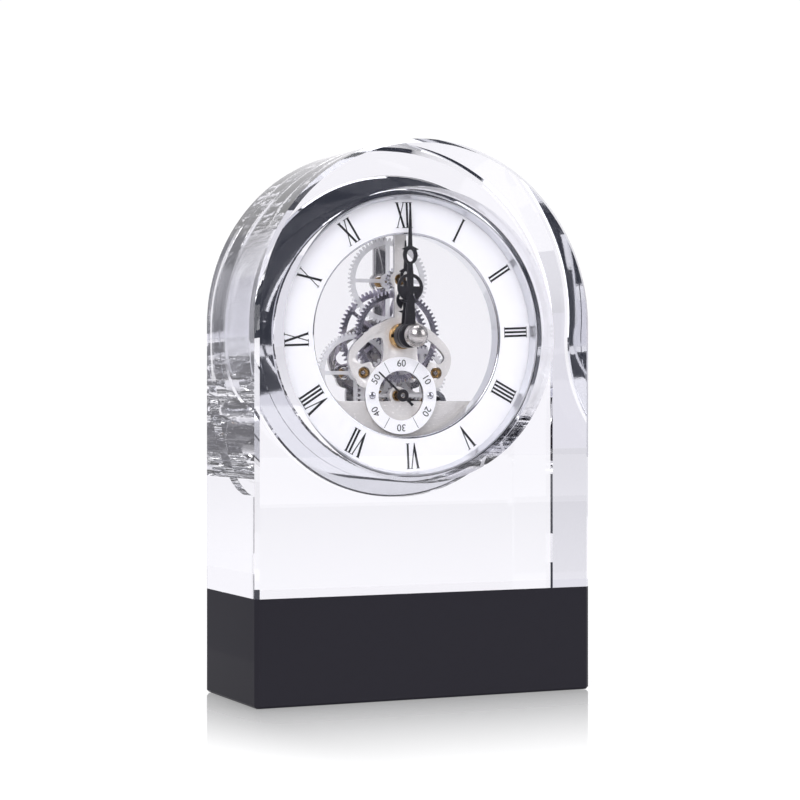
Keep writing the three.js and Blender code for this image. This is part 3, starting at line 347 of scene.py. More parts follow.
@dataclass(frozen=True)
class SilverDial(Finish):
    """Satin silver-white dial, grained along one direction."""

    colour: Colour
    shade: float = 0.94
    stroke_scale: Triple = (60.0, 60.0, 2200.0)
    fine_scale: Triple = (300.0, 300.0, 5200.0)
    stroke_share: float = 0.6
    metallic: float = 0.08
    roughness: Tuple[float, float] = (0.34, 0.12)
    relief: float = 0.05
    relief_depth: float = 0.0002

    def shader(self, graph: Graph) -> Socket:
        """Pale satin with long fine strokes."""
        strokes = graph.noise(graph.place(self.stroke_scale))
        fine = graph.noise(graph.place(self.fine_scale), 1.0, 1.0)
        mixed = strokes * self.stroke_share + fine * (1 - self.stroke_share)
        least, spread = self.roughness
        return graph.principled(
            Base_Color=graph.blend(mixed, self.colour, darker(self.colour, self.shade)),
            Metallic=self.metallic, Roughness=least + mixed * spread,
            Normal=graph.bump(mixed, self.relief, self.relief_depth),
        )


@dataclass(frozen=True)
class Enamel(Finish):
    """Paint or moulded plastic with a slight texture."""

    colour: Colour
    roughness: float = 0.4
    texture: float = 0.04
    coat: float = 0.0
    scale: float = 1400.0
    contrast: float = 0.3
    shade: float = 0.88
    spread: float = 0.1
    texture_depth: float = 0.0002

    def shader(self, graph: Graph) -> Socket:
        """Even colour with a fine texture in roughness and relief."""
        grain = graph.noise(graph.place(), self.scale)
        return graph.principled(
            Base_Color=graph.blend(grain * self.contrast, self.colour, darker(self.colour, self.shade)),
            Roughness=self.roughness + (grain - 0.5) * self.spread, Coat_Weight=self.coat,
            Normal=graph.bump(grain, self.texture, self.texture_depth),
        )


@dataclass(frozen=True)
class ClearPlastic(Finish):
    """Thin clear moulding: wheels and the rear cover."""

    tint: Colour
    clear: float
    roughness: float = 0.12
    index: float = 1.49

    def shader(self, graph: Graph) -> Socket:
        """A glossy pale body that lets part of the light straight through."""
        body = graph.principled(Base_Color=self.tint, Roughness=self.roughness, IOR=self.index)
        return graph.mixed(self.clear, body, graph.transparent(self.tint))


PLATE_BRUSH: Triple = (700.0, 700.0, 9000.0)


class Finishes(Enum):
    """Every finish on the clock, with its name and the record's slot."""

    CRYSTAL = ClearCrystal("clear_crystal")
    BORE_WALL = ClearCrystal("bored_crystal", streaked=True)
    BLACK_CRYSTAL = BlackCrystal("black_crystal", "black_crystal", srgb(40, 39, 45))
    CHROME = Metal("bright_chrome", "chrome", srgb(232, 233, 236), 0.05, 0.02)
    SATIN_CHROME = Metal("satin_chrome", "chrome", srgb(226, 227, 231), 0.3, 0.06)
    NUT = Metal("polished_nut", "chrome", srgb(214, 210, 205), 0.25, 0.04)
    SATIN_PLATE = Metal("satin_plate", "satin_plate", srgb(248, 245, 241), 0.26, 0.08, PLATE_BRUSH, 0.42, 0.15)
    POLISHED_PLATE = Metal("polished_plate", "satin_plate", srgb(200, 198, 198), 0.12, 0.05, PLATE_BRUSH)
    STEEL = Metal("turned_steel", "steel", srgb(214, 215, 220), 0.16, 0.06)
    GEAR_STEEL = Metal("violet_steel", "steel", srgb(206, 202, 214), 0.14, 0.05, metallic=0.95)
    BRASS = Metal("polished_brass", "brass", srgb(202, 164, 108), 0.16, 0.06)
    COPPER = Metal("copper_wire", "copper", srgb(196, 118, 72), 0.3, 0.1)
    DIAL = SilverDial("silver_dial", "silver_dial", srgb(253, 253, 254))
    BLACK_PAINT = Enamel("black_paint", "black_paint", srgb(26, 25, 29), 0.32)
    PRINT = Enamel("black_print", "black_paint", srgb(22, 22, 25), 0.5)
    BLACK_PLASTIC = Enamel("black_plastic", "black_plastic", srgb(30, 30, 34), 0.5, 0.15)
    BOARD = Enamel("green_board", "board", srgb(46, 96, 60), 0.45, 0.1)
    BATTERY = Enamel("battery_sleeve", "battery_case", srgb(40, 40, 46), 0.35, 0.03, 0.4)
    PALE_WHEEL = ClearPlastic("pale_wheel", "pale_plastic", (0.97, 0.97, 0.98), 0.45)
    CLEAR_COVER = ClearPlastic("clear_cover", "clear_cover", WHITE, 0.975, 0.04)


CENTRE: Point = (0.0, 0.0)
TOP: Point = (0.0, 20.0)
LEFT: Point = (-14.0, -13.0)
RIGHT: Point = (14.0, -13.0)
SECONDS: Point = (0.0, -21.0)
ROTOR: Point = (17.5, -23.7)
PIN_AT = 11.25


def spot(x: float, depth: float, z: float) -> Vector:
    """A place in metres, from millimetres measured from the clock's axis and the front face."""
    return Vector((x, FRONT + depth, AXIS_Z + z)) * MM


class Bench:
    """Mesh operators that every sub-assembly uses."""

    @staticmethod
    def clear() -> None:
        """Leaves object mode on and nothing selected."""
        if bpy.context.object is not None and bpy.context.object.mode != "OBJECT":
            bpy.ops.object.mode_set(mode="OBJECT")
        bpy.ops.object.select_all(action="DESELECT")

    @staticmethod
    def take(thing: Piece, *others: Piece) -> None:
        """Selects objects, the first of them active."""
        Bench.clear()
        for each in (thing, *others):
            each.select_set(True)
        bpy.context.view_layer.objects.active = thing

    @staticmethod
    def edit(thing: Piece, kind: str = "FACE") -> None:
        """Enters edit mode on an object, with all of it selected.

        Args:
            thing: the object.
            kind: the select mode, FACE or EDGE.
        """
        Bench.take(thing)
        bpy.ops.object.mode_set(mode="EDIT")
        bpy.ops.mesh.select_mode(type=kind)
        bpy.ops.mesh.select_all(action="SELECT")

    @staticmethod
    def leave() -> None:
        """Goes back to object mode."""
        bpy.ops.object.mode_set(mode="OBJECT")

    @staticmethod
    def tidy(thing: Piece, angle: float = SMOOTH_ANGLE) -> Piece:
        """Merges doubles, turns the faces outwards and smooths them up to an angle.

        Args:
            thing: the piece.
            angle: largest angle that is smoothed, in degrees.

        Returns:
            The same piece.
        """
        Bench.edit(thing)
        bpy.ops.mesh.remove_doubles(threshold=1e-6)
        bpy.ops.mesh.normals_make_consistent(inside=False)
        Bench.leave()
        bpy.ops.object.shade_smooth_by_angle(angle=math.radians(angle))
        return thing

    @staticmethod
    def outline(name: str, points: Sequence[Vector]) -> Piece:
        """A closed wire: a circle primitive whose points are laid where they are wanted.

        Args:
            name: name of the object.
            points: places of the points, in metres.

        Returns:
            The wire.
        """
        Bench.clear()
        bpy.ops.mesh.primitive_circle_add(vertices=len(points), radius=0.01)
        wire = bpy.context.object
        wire.name = wire.data.name = name
        for vertex, place in zip(wire.data.vertices, points):
            vertex.co = place
        return wire

    @staticmethod
    def lathe(
        name: str, profile: Sequence[Point], centre: Point = (0.0, 0.0), steps: int = 128,
        angle: float = SMOOTH_ANGLE,
    ) -> Piece:
        """Spins a profile of (radius, depth) about an axis that runs front to back.

        Args:
            name: name of the piece.
            profile: closed profile, in millimetres.
            centre: place of the axis across and up, from the clock's axis.
            steps: steps of the spin.
            angle: largest angle that is smoothed.

        Returns:
            The piece.
        """
        x, z = centre
        piece = Bench.outline(name, [spot(x + radius, depth, z) for radius, depth in profile])
        on_axis = [radius < 1e-6 for radius, _ in profile]
        if any(on_axis):
            Bench.edit(piece, "EDGE")
            bpy.ops.mesh.select_all(action="DESELECT")
            Bench.leave()
            for edge in piece.data.edges:
                edge.select = all(on_axis[v] for v in edge.vertices)
            bpy.ops.object.mode_set(mode="EDIT")
            bpy.ops.mesh.delete(type="EDGE_FACE")
            Bench.leave()
        Bench.edit(piece, "EDGE")
        bpy.ops.mesh.spin(steps=steps, angle=2 * math.pi, center=spot(x, 0, z), axis=(0, 1, 0))
        Bench.leave()
        return Bench.tidy(piece, angle)

    @staticmethod
    def slab(
        name: str, loops: Sequence[Sequence[Point]], front: float, back: float,
        bevel: float = 0.0, angle: float = SMOOTH_ANGLE,
    ) -> Piece:
        """A flat solid: outlines in x and z, filled and extruded between two depths.

        Args:
            name: name of the piece.
            loops: outlines in millimetres; one inside another is a hole.
            front: depth of the front face.
            back: depth of the back face.
            bevel: width of the bevel on the sharp edges.
            angle: largest angle that is smoothed.

        Returns:
            The piece.
        """
        wires = [Bench.outline(name, [spot(x, back, z) for x, z in loop]) for loop in loops]
        piece = Bench.join(name, wires)
        Bench.edit(piece)
        bpy.ops.mesh.fill()
        bpy.ops.mesh.extrude_region_move(TRANSFORM_OT_translate={"value": (0, (front - back) * MM, 0)})
        Bench.leave()
        Bench.tidy(piece, angle)
        if bevel:
            Bench.bevel(piece, bevel)
        return piece

    @staticmethod
    def bevel(piece: Piece, width: float, segments: int = 2, angle: float = 50.0) -> None:
        """Bevels the sharp edges with a modifier and applies it.

        Args:
            piece: the piece.
            width: width of the bevel in millimetres.
            segments: steps across the bevel.
            angle: edges sharper than this are bevelled.
        """
        Bench.take(piece)
        modifier = piece.modifiers.new("edge", "BEVEL")
        modifier.width = width * MM
        modifier.segments = segments
        modifier.limit_method = "ANGLE"
        modifier.angle_limit = math.radians(angle)
        modifier.miter_outer = "MITER_ARC"
        bpy.ops.object.modifier_apply(modifier=modifier.name)
        bpy.ops.object.shade_smooth_by_angle(angle=math.radians(SMOOTH_ANGLE))

    @staticmethod
    def combine(piece: Piece, tool: Piece, operation: str) -> None:
        """Applies a boolean with a tool to a piece and deletes the tool.

        Args:
            piece: the piece.
            tool: the other solid.
            operation: DIFFERENCE or UNION.
        """
        Bench.take(piece)
        modifier = piece.modifiers.new("boolean", "BOOLEAN")
        modifier.operation = operation
        modifier.solver = "EXACT"
        modifier.object = tool
        bpy.ops.object.modifier_apply(modifier=modifier.name)
        bpy.data.objects.remove(tool, do_unlink=True)

    @staticmethod
    def subtract(piece: Piece, tool: Piece) -> None:
        """Cuts a tool out of a piece."""
        Bench.combine(piece, tool, "DIFFERENCE")

    @staticmethod
    def unite(piece: Piece, other: Piece) -> None:
        """Adds another solid to a piece."""
        Bench.combine(piece, other, "UNION")

    @staticmethod
    def flatten(piece: Piece) -> None:
        """Merges the flat faces that lie in one plane."""
        Bench.edit(piece)
        bpy.ops.mesh.remove_doubles(threshold=2e-6)
        bpy.ops.mesh.dissolve_limited(angle_limit=math.radians(0.6))
        Bench.leave()

    @staticmethod
    def refined(node: str, width: float) -> Piece:
        """A copy of a CAD node with broken edges and smooth round faces.

        Args:
            node: the CAD node.
            width: width of the broken edges in millimetres.

        Returns:
            The copy.
        """
        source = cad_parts[node]
        mesh = source.data.copy()
        mesh.transform(source.matrix_world)
        piece = bpy.data.objects.new(f"{node}_fine", mesh)
        mesh.name = piece.name
        bpy.context.collection.objects.link(piece)
        Bench.flatten(piece)
        if width:
            Bench.bevel(piece, width, 1, EDGE_ANGLE)
        return Bench.tidy(piece)

    @staticmethod
    def across(name: str, profile: Sequence[Point], place: Triple, steps: int) -> Piece:
        """Spins a profile of (radius, distance to the right) about an axis that runs left to right.

        Args:
            name: name of the piece.
            profile: closed profile in millimetres.
            place: x, depth and z of the middle.
            steps: steps of the spin.

        Returns:
            The piece.
        """
        piece = Bench.lathe(name, profile, steps=steps)
        turn = Matrix.Rotation(-math.pi / 2, 4, "Z")
        piece.data.transform(Matrix.Translation(spot(*place)) @ turn @ Matrix.Translation(-spot(0, 0, 0)))
        return piece

    @staticmethod
    def join(name: str, pieces: Sequence[Piece]) -> Piece:
        """Joins pieces into one object."""
        Bench.take(pieces[0], *pieces[1:])
        if len(pieces) > 1:
            bpy.ops.object.join()
        pieces[0].name = pieces[0].data.name = name
        return pieces[0]


def dress(piece: Piece, finish: Finishes) -> None:
    """Gives a piece its finish."""
    piece.data.materials.clear()
    piece.data.materials.append(finish.value.material())


def accent(piece: Piece, finish: Finishes, chosen: Callable[[bpy.types.MeshPolygon], bool]) -> None:
    """Gives some faces of a dressed piece a second finish.

    Args:
        piece: the piece.
        finish: the second finish.
        chosen: tells which faces get it.
    """
    piece.data.materials.append(finish.value.material())
    for face in piece.data.polygons:
        face.material_index = int(chosen(face))


def from_axis(face: bpy.types.MeshPolygon) -> float:
    """Distance of a face's middle from the clock's axis, in millimetres."""
    place = face.center / MM
    return math.hypot(place.x, place.z - AXIS_Z)


def mount(piece: Piece, body: str, finish: Finishes, *nodes: str) -> Piece:
    """Dresses a new piece, makes it ride on a body and puts it in place of its CAD nodes.

    Args:
        piece: the piece.
        body: the body that carries it.
        finish: its finish, which names the record's slot too.
        nodes: CAD nodes that it stands for.

    Returns:
        The same piece.
    """
    dress(piece, finish)
    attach(piece, body)
    if nodes:
        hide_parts(*nodes)
    LOG.info("%s rides on %s", piece.name, body)
    return piece


def arc(x: float, z: float, radius: float, start: float, end: float, steps: int) -> List[Point]:
    """Points along an arc, angles in degrees."""
    angles = [math.radians(start + (end - start) * k / steps) for k in range(steps + 1)]
    return [(x + radius * math.cos(a), z + radius * math.sin(a)) for a in angles]


def circle(x: float, z: float, radius: float, steps: int = 64) -> List[Point]:
    """Points of a full circle."""
    return arc(x, z, radius, 0.0, 360.0, steps)[:-1]


def rounded(points: Sequence[Point], radius: float, steps: int = 5) -> List[Point]:
    """Rounds the corners of a closed outline.

    Args:
        points: corners of the outline.
        radius: how far a rounding reaches along each side.
        steps: steps of each rounding.

    Returns:
        The new outline.
    """
    out: List[Point] = []
    count = len(points)
    for k in range(count):
        before, corner, after = (Vector(points[(k + shift) % count]) for shift in (-1, 0, 1))
        first, second = before - corner, after - corner
        start = corner + first.normalized() * min(radius, first.length * 0.45)
        end = corner + second.normalized() * min(radius, second.length * 0.45)
        for step in range(steps + 1):
            t = step / steps
            place = start * (1 - t) ** 2 + corner * (2 * t * (1 - t)) + end * t * t
            out.append((place.x, place.y))
    return out


def smooth(points: Sequence[Point], steps: int = 8) -> List[Point]:
    """A smooth closed curve through places.

    Args:
        points: the places.
        steps: steps between two places.

    Returns:
        The curve's points.
    """
    out: List[Point] = []
    count = len(points)
    for k in range(count):
        four = [points[(k + shift) % count] for shift in (-1, 0, 1, 2)]
        for step in range(steps):
            t = step / steps
            out.append(tuple(
                0.5 * (2 * b + (c - a) * t + (2 * a - 5 * b + 4 * c - d) * t * t + (3 * b - a - 3 * c + d) * t ** 3)
                for a, b, c, d in zip(*four)))
    return out


def mirrored(points: Sequence[Point]) -> List[Point]:
    """The outline on the other side of the upright axis."""
    return [(-x, z) for x, z in reversed(points)]


def pin_holes() -> List[List[Point]]:
    """Holes of the two pins of the seconds dial."""
    return [circle(side * PIN_AT, SECONDS[1], 0.9, 24) for side in (-1, 1)]


def moved(points: Sequence[Point], place: Point) -> List[Point]:
    """The outline, moved to a place."""
    return [(x + place[0], z + place[1]) for x, z in points]


def turned(points: Sequence[Point], angle: float, place: Point) -> List[Point]:
    """The outline, turned clockwise by an angle in radians and moved to a place."""
    sine, cosine = math.sin(angle), math.cos(angle)
    return moved([(x * cosine + z * sine, z * cosine - x * sine) for x, z in points], place)


def strip(half: float, low: float, high: float, end: Optional[float] = None) -> List[Point]:
    """Outline of a strip along the upright axis.

    Args:
        half: half its width.
        low: its lower edge.
        high: its upper edge.
        end: half its width at the upper edge, where it tapers.

    Returns:
        The outline.
    """
    top = half if end is None else end
    return [(-half, low), (half, low), (top, high), (-top, high)]


@dataclass
class Trophy:
    """The clear block with its blind bore, and the black base."""

    width: float = 127.0
    thickness: float = 50.0
    height: float = 193.0
    base_height: float = 36.5
    chamfer: float = 1.4
    glue: float = 0.06
    bore: float = 51.5
    bore_front: float = 8.0
    recess: float = 57.3
    recess_front: float = 46.0
    steps: int = 256

    def build(self) -> None:
        """Builds and dresses both blocks; the wall of the bore keeps its turned surface."""
        clear = mount(self.block(), CASE_BODY, Finishes.CRYSTAL, "crystal_block")
        accent(clear, Finishes.BORE_WALL,
               lambda face: abs(from_axis(face) - self.bore) < 0.2 and abs(face.normal.y) < 0.3)
        dress(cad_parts["base_block"], Finishes.BLACK_CRYSTAL)

    def block(self) -> Piece:
        """Arch-topped block: half a disc, extruded down, chamfered and bored.

        Returns:
            The block.
        """
        radius = self.width / 2
        arch = self.height - radius
        Bench.clear()
        bpy.ops.mesh.primitive_cylinder_add(
            vertices=self.steps, radius=radius * MM, depth=self.thickness * MM, location=(0, 0, arch * MM),
            rotation=(math.pi / 2, 0, 0),
        )
        piece = bpy.context.object
        piece.name = piece.data.name = "clear_block"
        bpy.ops.object.transform_apply(location=True, rotation=True, scale=True)
        self.keep_above(piece, arch)
        self.pull_down(piece, (self.base_height - 10) * MM)
        Bench.tidy(piece)
        Bench.bevel(piece, self.chamfer, 1, 60.0)
        self.keep_above(piece, self.base_height + self.glue)
        end = self.thickness + 2
        tool = Bench.lathe("bore_tool", [
            (0, self.bore_front), (self.bore, self.bore_front), (self.bore, self.recess_front),
            (self.recess, self.recess_front), (self.recess, end), (0, end),
        ], steps=self.steps)
        Bench.subtract(piece, tool)
        return Bench.tidy(piece)

    @staticmethod
    def keep_above(piece: Piece, level: float) -> None:
        """Cuts away what lies under a level and closes the cut.

        Args:
            piece: the piece.
            level: the level in millimetres.
        """
        Bench.edit(piece)
        bpy.ops.mesh.bisect(
            plane_co=(0, 0, level * MM), plane_no=(0, 0, 1), clear_inner=True, use_fill=True)
        Bench.leave()

    @staticmethod
    def pull_down(piece: Piece, level: float) -> None:
        """Extrudes the faces that look down to a level.

        Args:
            piece: the half disc.
            level: height of the new underside, in metres.
        """
        lowest = min(v.co.z for v in piece.data.vertices)
        for face in piece.data.polygons:
            face.select = face.normal.z < -0.99 and abs(face.center.z - lowest) < 1e-5
        bpy.ops.object.mode_set(mode="EDIT")
        bpy.ops.mesh.select_mode(type="FACE")
        bpy.ops.mesh.extrude_region_move(TRANSFORM_OT_translate={"value": (0, 0, level - lowest)})
        Bench.leave()


@dataclass
class Case:
    """The case ring, the ring round the dial and the chapter ring."""

    outer: float = 51.2
    wall: float = 1.6
    front: float = 16.3
    flange_radius: float = 57.0
    flange_front: float = 46.3
    flange_back: float = 49.5
    ledge: float = 47.2
    ledge_front: float = 22.0
    ledge_back: float = 26.3
    dial_radius: float = 49.3
    dial_front: float = 19.8
    dial_back: float = 21.7
    opening: float = 35.5
    sleeve_wall: float = 1.2
    sleeve_back: float = 25.3
    ease: float = 0.25
    flange_ease: float = 0.6
    roll: float = 0.7
    steps: int = 192

    def build(self) -> None:
        """Builds the three rings; the inner edge of the dial is chrome."""
        inner, ease = self.outer - self.wall, self.ease
        case = Bench.lathe("case_shell", [
            (inner, self.front), (self.outer - ease, self.front), (self.outer, self.front + ease),
            (self.outer, self.flange_front), (self.flange_radius - self.flange_ease, self.flange_front),
            (self.flange_radius, self.flange_front + self.flange_ease), (self.flange_radius, self.flange_back - ease),
            (self.flange_radius - ease, self.flange_back), (inner + ease, self.flange_back),
            (inner, self.flange_back - ease), (inner, self.ledge_back), (self.ledge, self.ledge_back),
            (self.ledge, self.ledge_front), (inner, self.ledge_front),
        ], steps=self.steps)
        mount(case, CASE_BODY, Finishes.CHROME, "case_ring")
        radius, lip = self.dial_radius, self.dial_front - 0.3
        edge = Bench.lathe("dial_frame", [
            (radius - 0.6, self.front), (radius, self.front), (radius, lip), (radius - 1.5, lip),
            (radius - 1.1, self.front + 1.6),
        ], steps=self.steps, angle=60)
        mount(edge, CASE_BODY, Finishes.SATIN_CHROME, "dial_edge_ring")
        sleeve, top = self.opening + self.sleeve_wall, self.dial_front
        roll = [(self.opening + self.roll - self.roll * math.sin(a), top + self.roll - self.roll * math.cos(a))
                for a in (math.radians(18 * k) for k in range(6))]
        dial = Bench.lathe("dial_ring", [
            *reversed(roll), (radius, top), (radius, self.dial_back), (sleeve, self.dial_back),
            (sleeve, self.sleeve_back), (self.opening, self.sleeve_back),
        ], steps=self.steps, angle=25)
        mount(dial, CASE_BODY, Finishes.DIAL, "chapter_ring")
        accent(dial, Finishes.CHROME, lambda face: from_axis(face) < self.opening + 0.6)


@dataclass
class Numerals:
    """Roman numerals, cut as outlines with thick and thin strokes and serifs."""

    dial_front: float = 19.8
    middle: float = 42.3
    height: float = 9.0
    serif: float = 0.022
    relief: float = 0.08
    turn: float = 2.4
    gap: float = 0.004
    print_gap: float = 0.005

    def stroke_i(self) -> Tuple[float, List[Point]]:
        """Width and outline of an I, one unit high."""
        t, half, arm = self.serif, 0.041, 0.0725
        return 2 * arm, [
            (-arm, 0), (arm, 0), (arm, t), (half, t), (half, 1 - t), (arm, 1 - t),
            (arm, 1), (-arm, 1), (-arm, 1 - t), (-half, 1 - t), (-half, t), (-arm, t),
        ]

    def stroke_v(self) -> Tuple[float, List[Point]]:
        """Width and outline of a V."""
        top = 1 - self.serif
        return 0.42, [
            (-0.21, 1), (-0.21, top), (-0.177, top), (-0.014, 0), (0.018, 0), (0.159, top), (0.21, top), (0.21, 1),
            (0.09, 1), (0.09, top), (0.119, top), (0.0235, 0.32), (-0.082, top), (-0.05, top), (-0.05, 1),
        ]

    def stroke_x(self) -> Tuple[float, List[Point]]:
        """Width and outline of an X."""
        t = self.serif
        thick = ((-0.18, 1 - t), (0.09, t), (-0.09, 1 - t), (0.18, t))
        thin = ((0.12, 1 - t), (-0.155, t), (0.155, 1 - t), (-0.12, t))

        def cross(a: Point, b: Point, c: Point, d: Point) -> Point:
            """Where two lines meet."""
            s = ((c[0] - a[0]) * (d[1] - c[1]) - (c[1] - a[1]) * (d[0] - c[0])) / (
                (b[0] - a[0]) * (d[1] - c[1]) - (b[1] - a[1]) * (d[0] - c[0]))
            return a[0] + s * (b[0] - a[0]), a[1] + s * (b[1] - a[1])

        left, right = thick[:2], thick[2:]
        upper, lower = thin[:2], thin[2:]
        return 0.42, [
            (-0.21, 1), (-0.21, 1 - t), left[0], cross(*left, *upper), upper[1], (-0.2, t), (-0.2, 0), (-0.08, 0),
            (-0.08, t), lower[1], cross(*left, *lower), left[1], (0.06, t), (0.06, 0), (0.21, 0), (0.21, t), right[1],
            cross(*right, *lower), lower[0], (0.2, 1 - t), (0.2, 1), (0.08, 1), (0.08, 1 - t), upper[0],
            cross(*right, *upper), right[0], (-0.06, 1 - t), (-0.06, 1),
        ]

    def build(self) -> None:
        """Lays the twelve numerals radially, tops outwards."""
        letters = {"I": self.stroke_i(), "V": self.stroke_v(), "X": self.stroke_x()}
        words = ["XII", "I", "II", "III", "IIII", "V", "VI", "VII", "VIII", "IX", "X", "XI"]
        front = self.dial_front - self.relief
        for hour, word in enumerate(words):
            total = sum(letters[c][0] for c in word) + self.gap * (len(word) - 1)
            pen = -total / 2
            angle = math.radians(30 * hour - self.turn)
            pieces = []
            for c in word:
                width, points = letters[c]
                middle = pen + width / 2
                upright = [((middle + u) * self.height, self.middle + (v - 0.5) * self.height) for u, v in points]
                pieces.append(Bench.slab(
                    f"numeral_{hour}_{len(pieces)}", [turned(upright, angle, CENTRE)], front,
                    self.dial_front - self.print_gap))
                pen += width + self.gap
            mount(Bench.join(f"numeral_{hour or 12}", pieces), CASE_BODY, Finishes.PRINT)


@dataclass
class SecondsDial:
    """The small dial with its numbers, ticks and pins."""

    outer: float = 13.7
    inner: float = 8.8
    front: float = 25.7
    back: float = 26.3
    text_size: float = 3.55
    text_at: float = 11.3
    text_relief: float = 0.04
    text_thickness: float = 0.03
    tick: float = 0.09
    tick_relief: float = 0.05
    print_gap: float = 0.005

    def build(self) -> None:
        """Builds the ring, the numbers, the ticks and the pins."""
        edges = [circle(*SECONDS, radius, 128) for radius in (self.outer, self.inner)]
        ring = Bench.slab("seconds_ring", [*edges, *pin_holes()], self.front, self.back, 0.06)
        mount(ring, CASE_BODY, Finishes.DIAL, "seconds_dial")
        for seconds in (60, 10, 20, 30, 40, 50):
            mount(self.number(seconds), CASE_BODY, Finishes.PRINT)
        for seconds in (5, 25, 35, 55):
            loop = turned(strip(self.tick, self.inner + 0.3, self.outer - 0.4), math.radians(6 * seconds), SECONDS)
            tick = Bench.slab(
                f"seconds_tick_{seconds}", [loop], self.front - self.tick_relief, self.front - self.print_gap)
            mount(tick, CASE_BODY, Finishes.PRINT)
        for name, side in (("left", -1), ("right", 1)):
            pin = Bench.lathe(f"dial_pin_{name}", [
                (0, 25.0), (0.45, 25.02), (0.85, 25.12), (1.15, 25.28), (1.25, 25.4), (0.6, 25.4), (0.6, 28.1),
                (0, 28.1),
            ], (side * PIN_AT, SECONDS[1]), 32)
            mount(pin, CASE_BODY, Finishes.STEEL, f"seconds_dial_pin_{name}")

    def number(self, seconds: int) -> Piece:
        """One number, its top outwards.

        Args:
            seconds: the number.

        Returns:
            The piece.
        """
        Bench.clear()
        bpy.ops.object.text_add()
        text = bpy.context.object
        text.data.body = str(seconds)
        text.data.size = self.text_size * MM
        text.data.align_x = text.data.align_y = "CENTER"
        text.data.extrude = self.text_thickness * MM
        bpy.ops.object.convert(target="MESH")
        piece = bpy.context.object
        piece.name = piece.data.name = f"seconds_number_{seconds}"
        angle = math.radians(6 * seconds)
        x, z = turned([(0.0, self.text_at)], angle, SECONDS)[0]
        place = Matrix.Translation(spot(x, self.front - self.text_relief, z))
        piece.data.transform(place @ Matrix.Rotation(angle, 4, "Y") @ Matrix.Rotation(math.pi / 2, 4, "X"))
        piece.matrix_world = Matrix.Identity(4)
        return Bench.tidy(piece)


WHEEL_TOOTH: Tuple[Point, ...] = (
    (-1.32, -0.5), (-1.26, -0.37), (-0.98, -0.285), (-0.3, -0.24), (0.15, -0.215), (0.55, -0.16), (0.84, -0.085),
    (0.95, 0.0),
    (0.84, 0.085), (0.55, 0.16), (0.15, 0.215), (-0.3, 0.24), (-0.98, 0.285), (-1.26, 0.37),
)
PINION_LEAF: Tuple[Point, ...] = (
    (-1.42, -0.5), (-1.36, -0.33), (-1.1, -0.21), (-0.3, -0.19), (0.1, -0.185), (0.5, -0.14), (0.74, -0.07),
    (0.8, 0.0),
    (0.74, 0.07), (0.5, 0.14), (0.1, 0.185), (-0.3, 0.19), (-1.1, 0.21), (-1.36, 0.33),
)


def toothed(teeth: int, module: float, phase: float, tooth: Sequence[Point]) -> List[Point]:
    """Outline of a toothed wheel about the origin.

    Args:
        teeth: number of teeth.
        module: module in millimetres.
        phase: angle of one tooth in radians.
        tooth: points of a tooth, as height in modules above the pitch circle and share of the pitch.

    Returns:
        The outline.
    """
    pitch = 2 * math.pi / teeth
    points = []
    for k in range(teeth):
        for height, share in tooth:
            radius, angle = module * (teeth / 2 + height), phase + (k + share) * pitch
            points.append((radius * math.cos(angle), radius * math.sin(angle)))
    return points


@dataclass(frozen=True)
class Mesh:
    """Two toothed pieces that run together; the first has a tooth on the line of centres, the second a gap.

    The second is a wheel with its front face at the depth of the plane.
    """

    first: Point
    second: Point
    first_teeth: int
    second_teeth: int
    plane: float
    leaf: Tuple[Point, ...] = PINION_LEAF

    @property
    def module(self) -> float:
        """Module that the distance between the arbors gives."""
        return 2 * math.dist(self.first, self.second) / (self.first_teeth + self.second_teeth)

    @property
    def line(self) -> float:
        """Angle of the line of centres."""
        return math.atan2(self.second[1] - self.first[1], self.second[0] - self.first[0])

    def leading(self) -> List[Point]:
        """Outline of the first piece, at its place."""
        return moved(toothed(self.first_teeth, self.module, self.line, self.leaf), self.first)

    def following(self) -> List[Point]:
        """Outline of the second piece, about the origin."""
        phase = self.line + math.pi + math.pi / self.second_teeth
        return toothed(self.second_teeth, self.module, phase, WHEEL_TOOTH)


